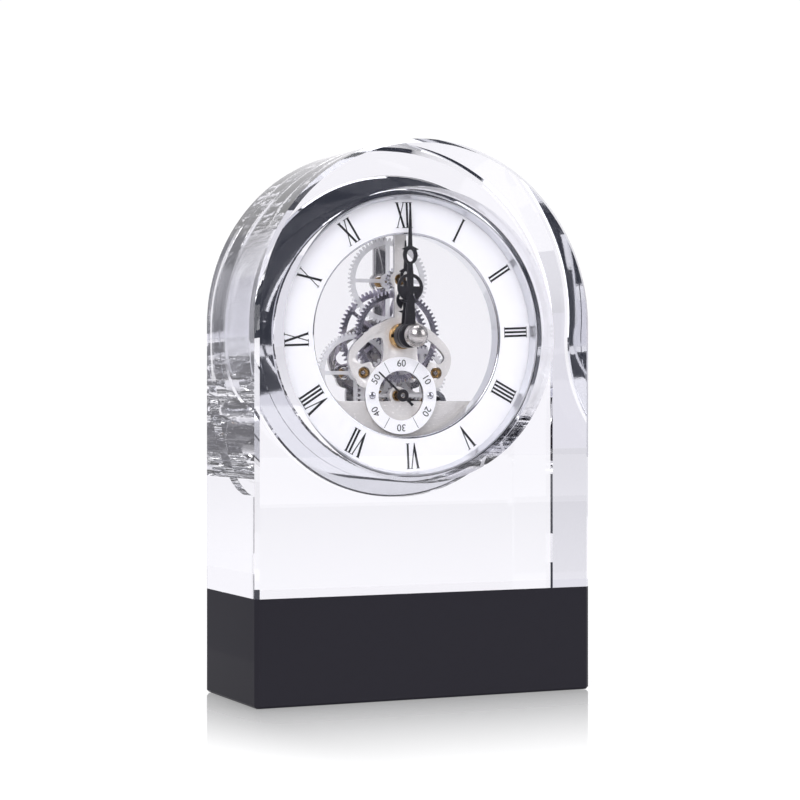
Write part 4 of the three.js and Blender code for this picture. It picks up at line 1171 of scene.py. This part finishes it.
@dataclass
class GearTrain:
    """Every wheel and every pinion with its arbor."""

    thickness: float = 1.0
    extra: float = 0.3
    rim: float = 1.3
    hub: float = 1.4
    spoke: float = 1.3
    arbor: float = 1.1
    pivot: float = 0.6
    bridge: float = 26.6
    bridge_back: float = 28.1
    rear: float = 44.5
    rear_back: float = 46.0
    root: float = 1.8
    edge: float = 0.07
    smooth: float = 40.0

    def build(self) -> None:
        """Builds the train and the motion work."""
        cannon = Mesh(CENTRE, TOP, 20, 60, 37.1, WHEEL_TOOTH)
        hour = Mesh(TOP, CENTRE, 16, 64, 29.3, WHEEL_TOOTH)
        third = Mesh(SECONDS, LEFT, 8, 60, 33.6)
        centre = Mesh(LEFT, CENTRE, 8, 64, 40.9)
        seconds = Mesh(RIGHT, SECONDS, 8, 48, 31.3)
        middle = Mesh(ROTOR, RIGHT, 8, 40, 38.5)
        for name, body, mesh in (
            ("minute", "minute_wheel_set", cannon), ("third", "third_wheel_set", third),
            ("seconds", "seconds_hand_set", seconds), ("middle", "middle_wheel_set", middle),
        ):
            node = f"{name}_wheel"
            mount(self.disk(node, mesh, 1.4, 4), body, Finishes.PALE_WHEEL, node)
        mount(self.disk("centre_wheel", centre, 1.5, 5), "centre_wheel_set", Finishes.GEAR_STEEL, "centre_wheel")
        self.hour_wheel(hour)
        seat = self.bridge_back + 0.6
        low = self.rear - 0.3
        between = self.shaft(self.bridge, seat)
        cannon_arbor = [
            (0, 16.3), (1.05, 16.3), (1.2, 16.45), (1.2, self.rear - 0.4), (1.1, low), (self.pivot, low),
            (self.pivot, 49.4), (self.pivot - 0.1, 49.5), (0, 49.6),
        ]
        for node, body, mesh, arbor in (
            ("minute_pinion", "minute_wheel_set", hour, between),
            ("third_pinion", "third_wheel_set", centre, between),
            ("middle_pinion", "middle_wheel_set", seconds, between),
            ("seconds_arbor", "seconds_hand_set", third, self.shaft(24.1, 30.3)),
            ("rotor_pinion", "rotor_set", middle, self.shaft(None, 30.3)),
            ("minute_arbor", "minute_hand_set", cannon, cannon_arbor),
        ):
            self.pinion(node, body, mesh, arbor)

    def shaft(self, tip: Optional[float], seat: float) -> List[Point]:
        """Profile of an arbor between the bridges.

        Args:
            tip: depth of the front end of its pivot; None where there is no front pivot.
            seat: depth where it gets thicker.

        Returns:
            The profile.
        """
        fore = [(0, seat), (self.arbor - 0.1, seat)] if tip is None else [
            (0, tip), (self.pivot - 0.15, tip), (self.pivot, tip + 0.15), (self.pivot, seat),
            (self.arbor - 0.1, seat),
        ]
        return [
            *fore, (self.arbor, seat + 0.1), (self.arbor, self.rear - 0.4), (self.arbor - 0.1, self.rear - 0.3),
            (self.pivot, self.rear - 0.3), (self.pivot, self.rear_back - 0.12), (self.pivot - 0.12, self.rear_back),
            (0, self.rear_back),
        ]

    def windows(self, inner: float, outer: float, spokes: int) -> List[List[Point]]:
        """Openings between the spokes, with rounded corners."""
        loops = []
        share = 360.0 / spokes
        near, far = (math.degrees(math.asin(self.spoke / 2 / radius)) for radius in (inner, outer))
        for k in range(spokes):
            start, end = share * k, share * (k + 1)
            sides = arc(0, 0, outer, start + far, end - far, 14) + arc(0, 0, inner, end - near, start + near, 5)
            loops.append(rounded(sides, 0.45, 3))
        return loops

    def disk(self, node: str, mesh: Mesh, bore: float, spokes: int) -> Piece:
        """Cuts the disk of a wheel.

        Args:
            node: CAD node that it stands for.
            mesh: its engagement; the wheel is the second piece.
            bore: radius of its bore.
            spokes: number of spokes.

        Returns:
            The disk.
        """
        root = mesh.module * (mesh.second_teeth / 2 - self.root)
        loops = [mesh.following(), *self.windows(bore + self.hub, root - self.rim, spokes), circle(0, 0, bore, 40)]
        return Bench.slab(
            f"{node}_fine", [moved(loop, mesh.second) for loop in loops], mesh.plane, mesh.plane + self.thickness,
            self.edge, self.smooth)

    def hour_wheel(self, mesh: Mesh) -> None:
        """Builds the hour wheel with its pipe."""
        disk = self.disk("hour_wheel", mesh, 1.5, 4)
        Bench.unite(disk, Bench.lathe("hour_pipe", [
            (1.5, 20.7), (2.3, 20.7), (2.4, 20.8), (2.4, 29.24), (2.4, 31.2), (2.3, 31.3), (1.5, 31.3),
        ], steps=48))
        mount(disk, "hour_hand_set", Finishes.GEAR_STEEL, "hour_wheel")

    def pinion(self, node: str, body: str, mesh: Mesh, arbor: List[Point]) -> None:
        """Builds a pinion and its arbor as one turned and cut piece.

        Args:
            node: CAD node that it stands for.
            body: body that carries it.
            mesh: its engagement; the pinion is the first piece.
            arbor: profile of the arbor.
        """
        low, high = mesh.plane - self.extra, mesh.plane + self.thickness + self.extra
        piece = Bench.slab(f"{node}_fine", [mesh.leading()], low, high, 0.06, self.smooth)
        Bench.unite(piece, Bench.lathe(f"{node}_shaft", arbor, mesh.first, 32))
        mount(piece, body, Finishes.STEEL, node)


@dataclass
class Bridges:
    """Both bridges on one outline, their bushes, the pillar, its screws and the centre nut."""

    thickness: float = 1.5
    front: float = 26.6
    rear: float = 44.5
    bar: float = 4.5
    foot_top: float = 48.1
    foot_width: float = 14.0
    foot_height: float = 6.0
    case_bore: float = 49.6
    seat_bottom: float = -30.04
    bush_seat: float = 2.2
    nut_hole: float = 2.8
    dial_hole: float = 9.1
    outer: Tuple[Point, ...] = (
        (3, 6.5), (8.2, 4.3), (13, 1.4), (18.2, -3.4), (19.9, -7.4), (19.4, -11.2), (17.4, -14.6), (12.6, -18.6),
    )
    window: Tuple[Point, ...] = (
        (6.9, -1.3), (10.4, -1.0), (14.1, -3.6), (17.2, -7.3), (15.4, -9.8), (11.5, -9.2), (10.2, -11), (7, -8.6),
    )

    def build(self) -> None:
        """Builds the plates and what is pressed into them; the sides of the front plate are polished."""
        arbors = {"centre": CENTRE, "top": TOP, "left": LEFT, "right": RIGHT, "seconds": SECONDS, "rotor": ROTOR}
        fore = {name: arbors[name] for name in ("top", "left", "right")}
        front = self.plate("front_plate", self.front, [], [
            circle(0, 0, self.nut_hole, 48), circle(*SECONDS, self.dial_hole, 96), *pin_holes(),
            *self.seats(fore.values())])
        mount(front, CASE_BODY, Finishes.SATIN_PLATE, "front_bridge")
        accent(front, Finishes.POLISHED_PLATE, lambda face: abs(face.normal.y) < 0.9)
        low = self.seat_bottom
        seat = rounded([(-9, low), (21.4, low), (21.4, -19.8), (-9, -19.8)], 1.0)
        rear = self.plate("rear_plate", self.rear, [seat], [*self.seats(arbors.values()), strip(60, -60, low)])
        mount(rear, CASE_BODY, Finishes.POLISHED_PLATE, "back_bridge")
        for name, place in fore.items():
            self.bush(f"front_bush_{name}", place, self.front, self.thickness, True)
        self.bush("front_bush_seconds", SECONDS, 28.4, 1.6, True)
        for name, place in arbors.items():
            self.bush(f"back_bush_{name}", place, self.rear, self.thickness, False)
        self.pillar()
        self.nut()

    def seats(self, places: Iterable[Point]) -> List[List[Point]]:
        """Holes that bushes are pressed into."""
        return [circle(*place, self.bush_seat, 40) for place in places]

    def plate(self, name: str, front: float, extras: List[List[Point]], holes: List[List[Point]]) -> Piece:
        """Cuts one plate to the heart outline.

        Args:
            name: name of the piece.
            front: depth of its front face.
            extras: more outlines that belong to it.
            holes: its openings.

        Returns:
            The plate.
        """
        back = front + self.thickness
        reach = self.foot_width / 2
        low = self.foot_top - self.foot_height
        rise = self.case_bore - 0.3
        side = math.degrees(math.asin(reach / rise))
        foot = [(-reach, low), (reach, low), *arc(0, 0, rise, 90 - side, 90 + side, 16)]
        heart = smooth([*self.outer, *mirrored(self.outer)])
        forms = [
            strip(self.bar / 2, 0, self.foot_top - 1), rounded(foot, 0.8, 3), circle(0, 0, 6.4, 72),
            circle(*TOP, 3.6, 48), circle(*SECONDS, 13.2, 96), *extras,
        ]
        piece = Bench.slab(name, [heart], front, back)
        for number, form in enumerate(forms):
            Bench.unite(piece, Bench.slab(f"{name}_{number}", [form], front, back))
        windows = [smooth(self.window), smooth(mirrored(self.window))]
        for number, loop in enumerate([*windows, *holes]):
            Bench.subtract(piece, Bench.slab(f"{name}_cut_{number}", [loop], front - 1, back + 1))
        Bench.flatten(piece)
        Bench.bevel(piece, 0.2, 2, EDGE_ANGLE)
        return Bench.tidy(piece, 30.0)

    @staticmethod
    def bush(node: str, place: Point, front: float, thickness: float, outward: bool) -> None:
        """Turns one brass bush with its oil sink on the outer face.

        Args:
            node: CAD node that it stands for.
            place: its arbor.
            front: depth of its front face.
            thickness: its thickness.
            outward: whether the outer face looks to the front.
        """
        profile = [
            (0.9, 0.4), (1.3, 0.0), (1.75, 0.0), (1.9, 0.15), (1.9, thickness - 0.15), (1.75, thickness),
            (0.9, thickness),
        ]
        if not outward:
            profile = [(radius, thickness - depth) for radius, depth in reversed(profile)]
        piece = Bench.lathe(f"{node}_fine", [(r, front + d) for r, d in profile], place, 48)
        mount(piece, CASE_BODY, Finishes.BRASS, node)

    def pillar(self) -> None:
        """Turns the pillar at the foot and the screw heads on the rear plate."""
        place = (0.0, self.foot_top - self.foot_height / 2)
        low, high = self.front + self.thickness, self.rear
        shape = Bench.lathe("pillar_fine", [
            (0, low), (2.3, low), (2.5, low + 0.2), (2.5, low + 3), (2.1, low + 3.4), (2.1, high - 3.4),
            (2.5, high - 3), (2.5, high - 0.2), (2.3, high), (0, high),
        ], place, 48)
        mount(shape, CASE_BODY, Finishes.STEEL, "bridge_pillar")
        back = self.rear + self.thickness
        for name, at in (("pillar", place), ("left", (-5.0, -27.0)), ("right", (5.0, -27.0))):
            head = Bench.lathe(f"screw_{name}", [
                (0, back), (1.6, back), (1.6, back + 0.3), (1.45, back + 0.45), (0, back + 0.5),
            ], at, 40)
            slot = moved(strip(2, -0.2, 0.2), at)
            Bench.subtract(head, Bench.slab(f"screw_slot_{name}", [slot], back + 0.25, back + 1))
            mount(Bench.tidy(head), CASE_BODY, Finishes.STEEL)

    def nut(self) -> None:
        """Turns the centre nut and cuts its two key slots."""
        back = self.front - 0.3
        front = back - 2.9
        piece = Bench.lathe("centre_nut_fine", [
            (2.8, front + 0.15), (2.95, front), (4.15, front), (4.6, front + 0.45), (4.6, back - 0.15),
            (4.45, back), (2.8, back),
        ], steps=72)
        Bench.subtract(piece, Bench.slab("nut_slot", [strip(6, -0.6, 0.6)], front - 1, front + 0.9))
        mount(Bench.tidy(piece), CASE_BODY, Finishes.BRASS, "centre_nut")


@dataclass(frozen=True)
class HandForm:
    """Sizes of a serpentine hand, measured out from its axis.

    The collar has a place, half its width, and half the widths of the root at the axis and at the collar. The
    crescent has a place, a radius, the width of its band and half the width of the stem. The loop has a place, half
    its width and height, the same of its eye, and half the widths of the neck and the needle.
    """

    name: str
    body: str
    length: float
    front: float
    boss_front: float
    boss_back: float
    bore: float
    collar: Tuple[float, float, float, float]
    crescent: Tuple[float, float, float, float]
    loop: Tuple[float, float, float, float, float, float, float]


@dataclass
class Hands:
    """Minute hand, hour hand, seconds hand and ball nut."""

    thickness: float = 0.6
    boss: float = 4.3
    tip: float = 0.18
    seconds_rest: float = 48.0
    seconds_front: float = 24.3
    seconds_back: float = 24.7
    ball: float = 4.2
    ball_at: float = 13.3
    nut_bore: float = 1.5
    nut_back: float = 15.9
    minute: HandForm = HandForm(
        "minute_hand", "minute_hand_set", 45.4, 18.0, 17.8, 19.4, 1.5,
        (12.1, 3.5, 2.4, 1.5), (16.9, 4.9, 1.1, 1.2), (28.2, 2.75, 3.2, 1.4, 2.1, 1.2, 0.8),
    )
    hour: HandForm = HandForm(
        "hour_hand", "hour_hand_set", 33.6, 21.9, 19.7, 22.8, 2.7,
        (8.6, 2.7, 1.9, 1.2), (12.6, 3.5, 0.9, 0.9), (21.2, 2.0, 2.6, 1.0, 1.7, 0.9, 0.7),
    )

    def build(self) -> None:
        """Builds the hands and the nut that holds them."""
        self.hand(self.minute)
        self.hand(self.hour)
        self.seconds()
        turns = [math.radians(7.5 * k) for k in range(23)]
        ball = [(self.ball * math.sin(a), self.ball_at - self.ball * math.cos(a)) for a in turns]
        seat = [(self.nut_bore, ball[-1][1]), (self.nut_bore, self.nut_back), (0.0, self.nut_back)]
        mount(Bench.lathe("ball_nut", [*ball, *seat], steps=72), "minute_hand_set", Finishes.NUT, "hand_nut")

    def hand(self, form: HandForm) -> None:
        """Builds a serpentine hand: root, collar, crescent, neck, loop with ears, needle and boss.

        Args:
            form: the sizes of the hand.
        """
        z, wide, root, top = form.collar
        cz, radius, band, stem = form.crescent
        lz, half_width, half_height, eye_width, eye_height, neck, needle = form.loop
        inner = radius - band
        loop_top, ear = lz + half_height, half_width + 0.5
        lift = math.degrees(math.acos(stem / inner))
        window = rounded([*arc(0, cz, inner, 6, lift, 10), (stem, cz + 0.1 * inner)], 0.25, 3)
        mouth = [(stem, cz - 0.25 * radius), (0.62 * radius, cz - 1.3 * radius), (stem, cz - 1.3 * radius)]

        def oval(middle: float, width: float, height: float, steps: int) -> List[Point]:
            """Points of an ellipse."""
            turns = [2 * math.pi * k / steps for k in range(steps)]
            return [(width * math.cos(a), middle + height * math.sin(a)) for a in turns]

        eye = oval(lz - 0.2, eye_width, eye_height, 40)
        outlines = [
            strip(root, 0, z, top),
            [(-wide, z), (0, z - 1.2), (wide, z), (0, z + 0.7)],
            strip(stem, z - 0.1, cz),
            strip(neck, cz + radius - 0.5, lz - half_height + 0.5, 0.7 * neck),
            strip(needle, loop_top - 0.3, form.length, self.tip),
            oval(lz, half_width, half_height, 56),
            [(-ear, loop_top - 1.1), (0, loop_top - 2.2), (ear, loop_top - 1.1), (0, loop_top + 0.4)],
        ]
        front, back = form.front, form.front + self.thickness
        piece = Bench.slab(f"{form.name}_fine", [circle(0, cz, radius, 72)], front, back)
        for number, loop in enumerate((window, mirrored(window), mouth, mirrored(mouth))):
            Bench.subtract(piece, Bench.slab(f"{form.name}_cut_{number}", [loop], front - 1, front + 2))
        for number, loop in enumerate(outlines):
            Bench.unite(piece, Bench.slab(f"{form.name}_{number}", [loop], front, back))
        Bench.subtract(piece, Bench.slab(f"{form.name}_eye", [eye], front - 1, front + 2))
        Bench.flatten(piece)
        Bench.bevel(piece, 0.1, 1, EDGE_ANGLE)
        low, high, edge = form.boss_front, form.boss_back, self.boss
        Bench.unite(piece, Bench.lathe(f"{form.name}_boss", [
            (0, low), (edge - 0.3, low), (edge, low + 0.3), (edge, high - 0.2), (edge - 0.2, high), (0, high),
        ], steps=72))
        hole = circle(0, 0, form.bore, 48)
        Bench.subtract(piece, Bench.slab(f"{form.name}_bore", [hole], low - 1, high + 1))
        mount(Bench.tidy(piece, 30.0), form.body, Finishes.BLACK_PAINT, form.name)

    def seconds(self) -> None:
        """Builds the seconds hand at its resting angle."""
        loop = turned(strip(0.5, -5.2, 12.4, 0.22), -math.radians(self.seconds_rest), SECONDS)
        blade = Bench.slab("seconds_hand_fine", [loop], self.seconds_front, self.seconds_back)
        Bench.unite(blade, Bench.lathe("seconds_hub", [
            (0, 24.1), (2.0, 24.1), (2.2, 24.3), (2.2, 24.65), (2.15, 24.7), (0, 24.7),
        ], SECONDS, 56))
        Bench.subtract(blade, Bench.slab("seconds_bore", [circle(*SECONDS, 0.9, 32)], 23, 26))
        mount(Bench.tidy(blade), "seconds_hand_set", Finishes.BLACK_PAINT, "seconds_hand")


@dataclass
class Rear:
    """Clear cover, door, setting knob, battery housing, cell, motor and board."""

    cover_front: float = 46.6
    cover_back: float = 48.1
    cover: float = 49.3
    box_top: float = -31.04
    door_bottom: float = -42.09
    door: float = 22.8
    play: float = 0.3

    def build(self) -> None:
        """Builds what is seen from behind."""
        low, high = self.cover_front, self.cover_back
        panel = Bench.lathe("rear_window", [
            (1.6, low), (self.cover - 0.2, low), (self.cover, low + 0.2), (self.cover, high - 0.3),
            (self.cover - 0.3, high), (1.9, high), (1.6, high - 0.3),
        ], steps=160)
        opening = rounded(strip(self.door, self.door_bottom, self.box_top), 1.0, 4)
        Bench.subtract(panel, Bench.slab("doorway", [opening], low - 1, high + 1))
        mount(Bench.tidy(panel, 30.0), CASE_BODY, Finishes.CLEAR_COVER, "rear_cover")
        self.battery_door()
        self.knob()
        self.cell()
        self.motor()

    def battery_door(self) -> None:
        """Moulds the door with its grip."""
        back = self.cover_back
        sheet = strip(self.door - self.play, self.door_bottom + self.play, self.box_top - self.play)
        piece = Bench.slab("door_panel", [rounded(sheet, 0.9, 4)], self.cover_front, back, 0.18)
        for step in range(3):
            low, high = (self.box_top - edge - 1.3 * step for edge in (2.4, 1.7))
            grip = strip(6 - step, low, high)
            Bench.unite(piece, Bench.slab(f"door_grip_{step}", [grip], back - 0.2, back + 0.7, 0.12))
        mount(Bench.tidy(piece), "battery_door_set", Finishes.SATIN_PLATE, "battery_door")

    @staticmethod
    def knob() -> None:
        """Moulds the fluted setting knob."""
        flutes, steps, middle, wave = 14, 140, 4.425, 0.175
        loop = []
        for k in range(steps):
            angle = 2 * math.pi * k / steps
            radius = middle + wave * math.cos(flutes * angle)
            loop.append((radius * math.cos(angle), radius * math.sin(angle)))
        piece = Bench.slab("knob_fine", [loop], 48.4, 49.9, 0.2)
        dish = Bench.lathe("knob_dish", [(0, 49.55), (3.0, 49.55), (3.3, 50.4), (0, 50.4)], steps=48)
        Bench.subtract(piece, dish)
        Bench.subtract(piece, Bench.slab("knob_bore", [circle(0, 0, 0.9, 32)], 48.0, 49.5))
        mount(Bench.tidy(piece), "minute_hand_set", Finishes.BLACK_PLASTIC, "set_knob")

    @staticmethod
    def cell() -> None:
        """Turns the battery and lays it across."""
        half, depth, z, radius = 21.85, 39.3, -36.587, 5.25
        profile = [
            (0, -half), (radius - 0.5, -half), (radius - 0.1, -half + 0.15), (radius, -half + 0.5),
            (radius, half - 0.5), (radius - 0.1, half - 0.15), (radius - 0.5, half), (1.9, half), (1.9, half + 0.7),
            (1.8, half + 0.8), (0, half + 0.8),
        ]
        mount(Bench.across("cell", profile, (0.0, depth, z), 64), CASE_BODY, Finishes.BATTERY, "battery")

    @staticmethod
    def motor() -> None:
        """Winds the coil, turns the magnet and breaks the edges of the flat pieces."""
        wound = [(0.6, -4.3)]
        for k in range(29):
            wound.extend([(1.9, -4.3 + 0.3 * k), (1.78, -4.15 + 0.3 * k)])
        wound.extend([(1.9, 4.3), (0.6, 4.3)])
        middle = (28.5, 36.5, -27.2)
        mount(Bench.across("winding", wound, middle, 48), CASE_BODY, Finishes.COPPER, "coil")
        for name, start in (("near", -5.0), ("far", 4.3)):
            cheek = Bench.across(f"coil_cheek_{name}", [
                (1.3, start), (2.3, start), (2.4, start + 0.1), (2.4, start + 0.6), (2.3, start + 0.7),
                (1.3, start + 0.7),
            ], middle, 48)
            mount(cheek, CASE_BODY, Finishes.BLACK_PLASTIC)
        magnet = Bench.lathe("magnet", [
            (1.4, 34.4), (2.45, 34.4), (2.6, 34.55), (2.6, 36.25), (2.45, 36.4), (1.4, 36.4),
        ], ROTOR, 56)
        mount(magnet, "rotor_set", Finishes.BLACK_PLASTIC, "rotor_magnet")
        for node, finish, width in (
            ("battery_housing", Finishes.SATIN_PLATE, 0.25), ("stator", Finishes.STEEL, 0.08),
            ("coil_core", Finishes.STEEL, 0.08), ("circuit_board", Finishes.BOARD, 0.06),
            ("battery_contact_minus", Finishes.STEEL, 0.06), ("battery_contact_plus", Finishes.STEEL, 0.06),
            ("quartz_can", Finishes.STEEL, 0.0),
        ):
            mount(Bench.refined(node, width), CASE_BODY, finish, node)


@dataclass
class Studio:
    """Floor, world, lamps and camera."""

    camera_place: Triple = (-322.0, -709.0, 102.9)
    camera_yaw: float = 24.46
    focal_pixels: float = 2196.0
    image_pixels: float = 800.0
    sensor: float = 36.0
    clip: Tuple[float, float] = (0.02, 30.0)
    soft: float = 0.9
    room: Colour = srgb(58, 60, 68)
    room_edge: float = -0.12
    box: Tuple[float, float] = (-0.6, -0.33)
    flag_edge: float = 0.6
    horizon: float = -0.035
    backdrop: float = 1.03
    card: Colour = srgb(230, 229, 236)
    card_edge: float = -0.12
    card_on_table: float = 0.88
    pale: Colour = srgb(253, 252, 255)
    ceiling_edge: float = 0.62
    gap: Tuple[float, float] = (-0.38, -1.3)
    table_glow: float = 0.7
    far_edge: float = 0.5
    far_rise: float = 0.5
    far_cover: Colour = (1.12, 1.11, 1.14)
    bounces: int = 24
    mirror: float = 0.6
    mirror_reach: float = 0.135
    side_fade: float = 2.4
    least_mirror: float = 0.02
    foot: Tuple[float, float] = (0.0635, 0.025)
    card_side: float = -0.11
    far_unseen: float = 0.25
    cloth: Colour = (0.28, 0.28, 0.285)
    gloss: float = 0.05
    aim: Triple = (0.0, 0.0, 0.11)

    def build(self) -> None:
        """Sets the stage."""
        self.camera()
        self.world()
        self.floor()
        self.lamps()
        scene = bpy.context.scene
        scene.view_settings.view_transform = "Standard"
        scene.cycles.max_bounces = scene.cycles.transmission_bounces = self.bounces
        scene.cycles.glossy_bounces = scene.cycles.transparent_max_bounces = self.bounces

    def camera(self) -> None:
        """The photograph's camera."""
        data = bpy.data.cameras.new("camera")
        data.sensor_width = self.sensor
        data.lens = self.focal_pixels / self.image_pixels * self.sensor
        data.clip_start, data.clip_end = self.clip
        camera = bpy.data.objects.new("camera", data)
        bpy.context.collection.objects.link(camera)
        camera.location = Vector(self.camera_place) * MM
        camera.rotation_euler = (math.pi / 2, 0.0, -math.radians(self.camera_yaw))
        bpy.context.scene.camera = camera

    def world(self) -> None:
        """White for the camera; what the crystal or a metal shows is the room where the photo was taken.

        The room is dark in front and overhead, with a pale card at the left. Diffuse light is even and white.
        """
        world = bpy.data.worlds.new("studio")
        world.use_nodes = True
        bpy.context.scene.world = world
        graph = Graph(world.node_tree, "ShaderNodeOutputWorld")
        camera, glossy = graph.path("Is Camera Ray"), graph.path("Is Glossy Ray")
        mirrored = glossy.at_least(graph.path("Is Transmission Ray"))
        seen = camera.at_least(mirrored) * (graph.path("Diffuse Depth") < 0.5)
        across, forward, up = graph.axes(graph.node("ShaderNodeTexCoord", out="Generated"))
        table = glossy * (1.0 - graph.path("Is Singular Ray")) * (graph.path("Transmission Depth") < 0.5)
        unseen = 1.0 - camera.at_least(table)
        facing = forward < self.room_edge
        box = (across > self.box[0]) * (across < self.box[1])
        left = ((1.0 - facing) * (across < self.card_edge)).at_least(facing * box) * unseen
        flag = (across > self.flag_edge) * (forward > 0.0)
        front = facing * (1.0 - box) * (up > self.horizon)
        room = front.at_least(up > self.ceiling_edge).at_least(flag) * unseen
        open_space = graph.blend(unseen, WHITE, self.pale)
        shown = graph.blend(left, graph.blend(room, open_space, self.room), self.card)
        soft = graph.light("ShaderNodeBackground", WHITE, self.soft)
        graph.finish(graph.mixed(seen, soft, graph.light("ShaderNodeBackground", shown, self.backdrop)))

    def floor(self) -> None:
        """A white table that mirrors the base softly close to it and keeps its shadow.

        Seen through the crystal it has a dark gap in front, a pale card beside it and a bright far end.
        """
        Bench.clear()
        bpy.ops.mesh.primitive_plane_add(size=6.0, location=(0, 0, -0.0002))
        floor = bpy.context.object
        floor.name = "floor"
        made = bpy.data.materials.new("white_table")
        made.use_nodes = True
        graph = Graph(made.node_tree, "ShaderNodeOutputMaterial")
        across, along, _ = graph.axes(graph.place())
        beside = (across.size() - self.foot[0]).at_least(0.0) * self.side_fade
        before = (along.size() - self.foot[1]).at_least(0.0)
        reach = (beside * beside + before * before).root()
        polish = ((1.0 - reach / self.mirror_reach) * self.mirror).at_least(self.least_mirror)
        camera = graph.path("Is Camera Ray")
        off_table = (along < self.gap[0]) * (along > self.gap[1]) * (1.0 - camera)
        beside_card = (across < self.card_side) * (along > self.gap[0]) * (1.0 - camera)
        away = (across * across + along * along).root() * camera
        share = camera * (1.0 - self.far_unseen) + self.far_unseen
        far = (along.at_least(away) - self.far_edge) * self.far_rise * share
        open_cover = graph.blend(far, graph.blend(camera, self.pale, WHITE), self.far_cover)
        cover = graph.blend(beside_card, open_cover, darker(self.card, self.card_on_table))
        glow = graph.light("ShaderNodeEmission", cover, self.table_glow)
        cloth = graph.node("ShaderNodeBsdfDiffuse", {}, {"Color": self.cloth})
        lit = graph.node("ShaderNodeAddShader", {}, {0: glow, 1: cloth})
        gloss = graph.node("ShaderNodeBsdfGlossy", {}, {"Color": WHITE, "Roughness": self.gloss})
        beyond = graph.light("ShaderNodeEmission", self.room, 1.0)
        graph.finish(graph.mixed(off_table, graph.mixed(polish, lit, gloss), beyond))
        floor.data.materials.append(made)

    def lamps(self) -> None:
        """Soft boxes on both sides and above."""
        boxes = (
            ("key", (-0.9, -1.0, 0.9), 0.9, 10.5),
            ("fill", (1.0, -0.8, 0.6), 0.9, 5.5),
            ("top", (0.0, 0.1, 1.3), 0.8, 5.0),
        )
        for name, place, size, power in boxes:
            data = bpy.data.lights.new(name, "AREA")
            data.size = size
            data.energy = power
            lamp = bpy.data.objects.new(name, data)
            bpy.context.collection.objects.link(lamp)
            lamp.location = place
            aim = Vector(self.aim) - Vector(place)
            lamp.rotation_euler = aim.to_track_quat("-Z", "Y").to_euler()


def main() -> None:
    """Builds everything in order."""
    logging.basicConfig(level=logging.INFO, format="%(name)s: %(message)s")
    Studio().build()
    Trophy().build()
    Case().build()
    Numerals().build()
    SecondsDial().build()
    GearTrain().build()
    Bridges().build()
    Hands().build()
    Rear().build()


if __name__ == "__main__":
    main()
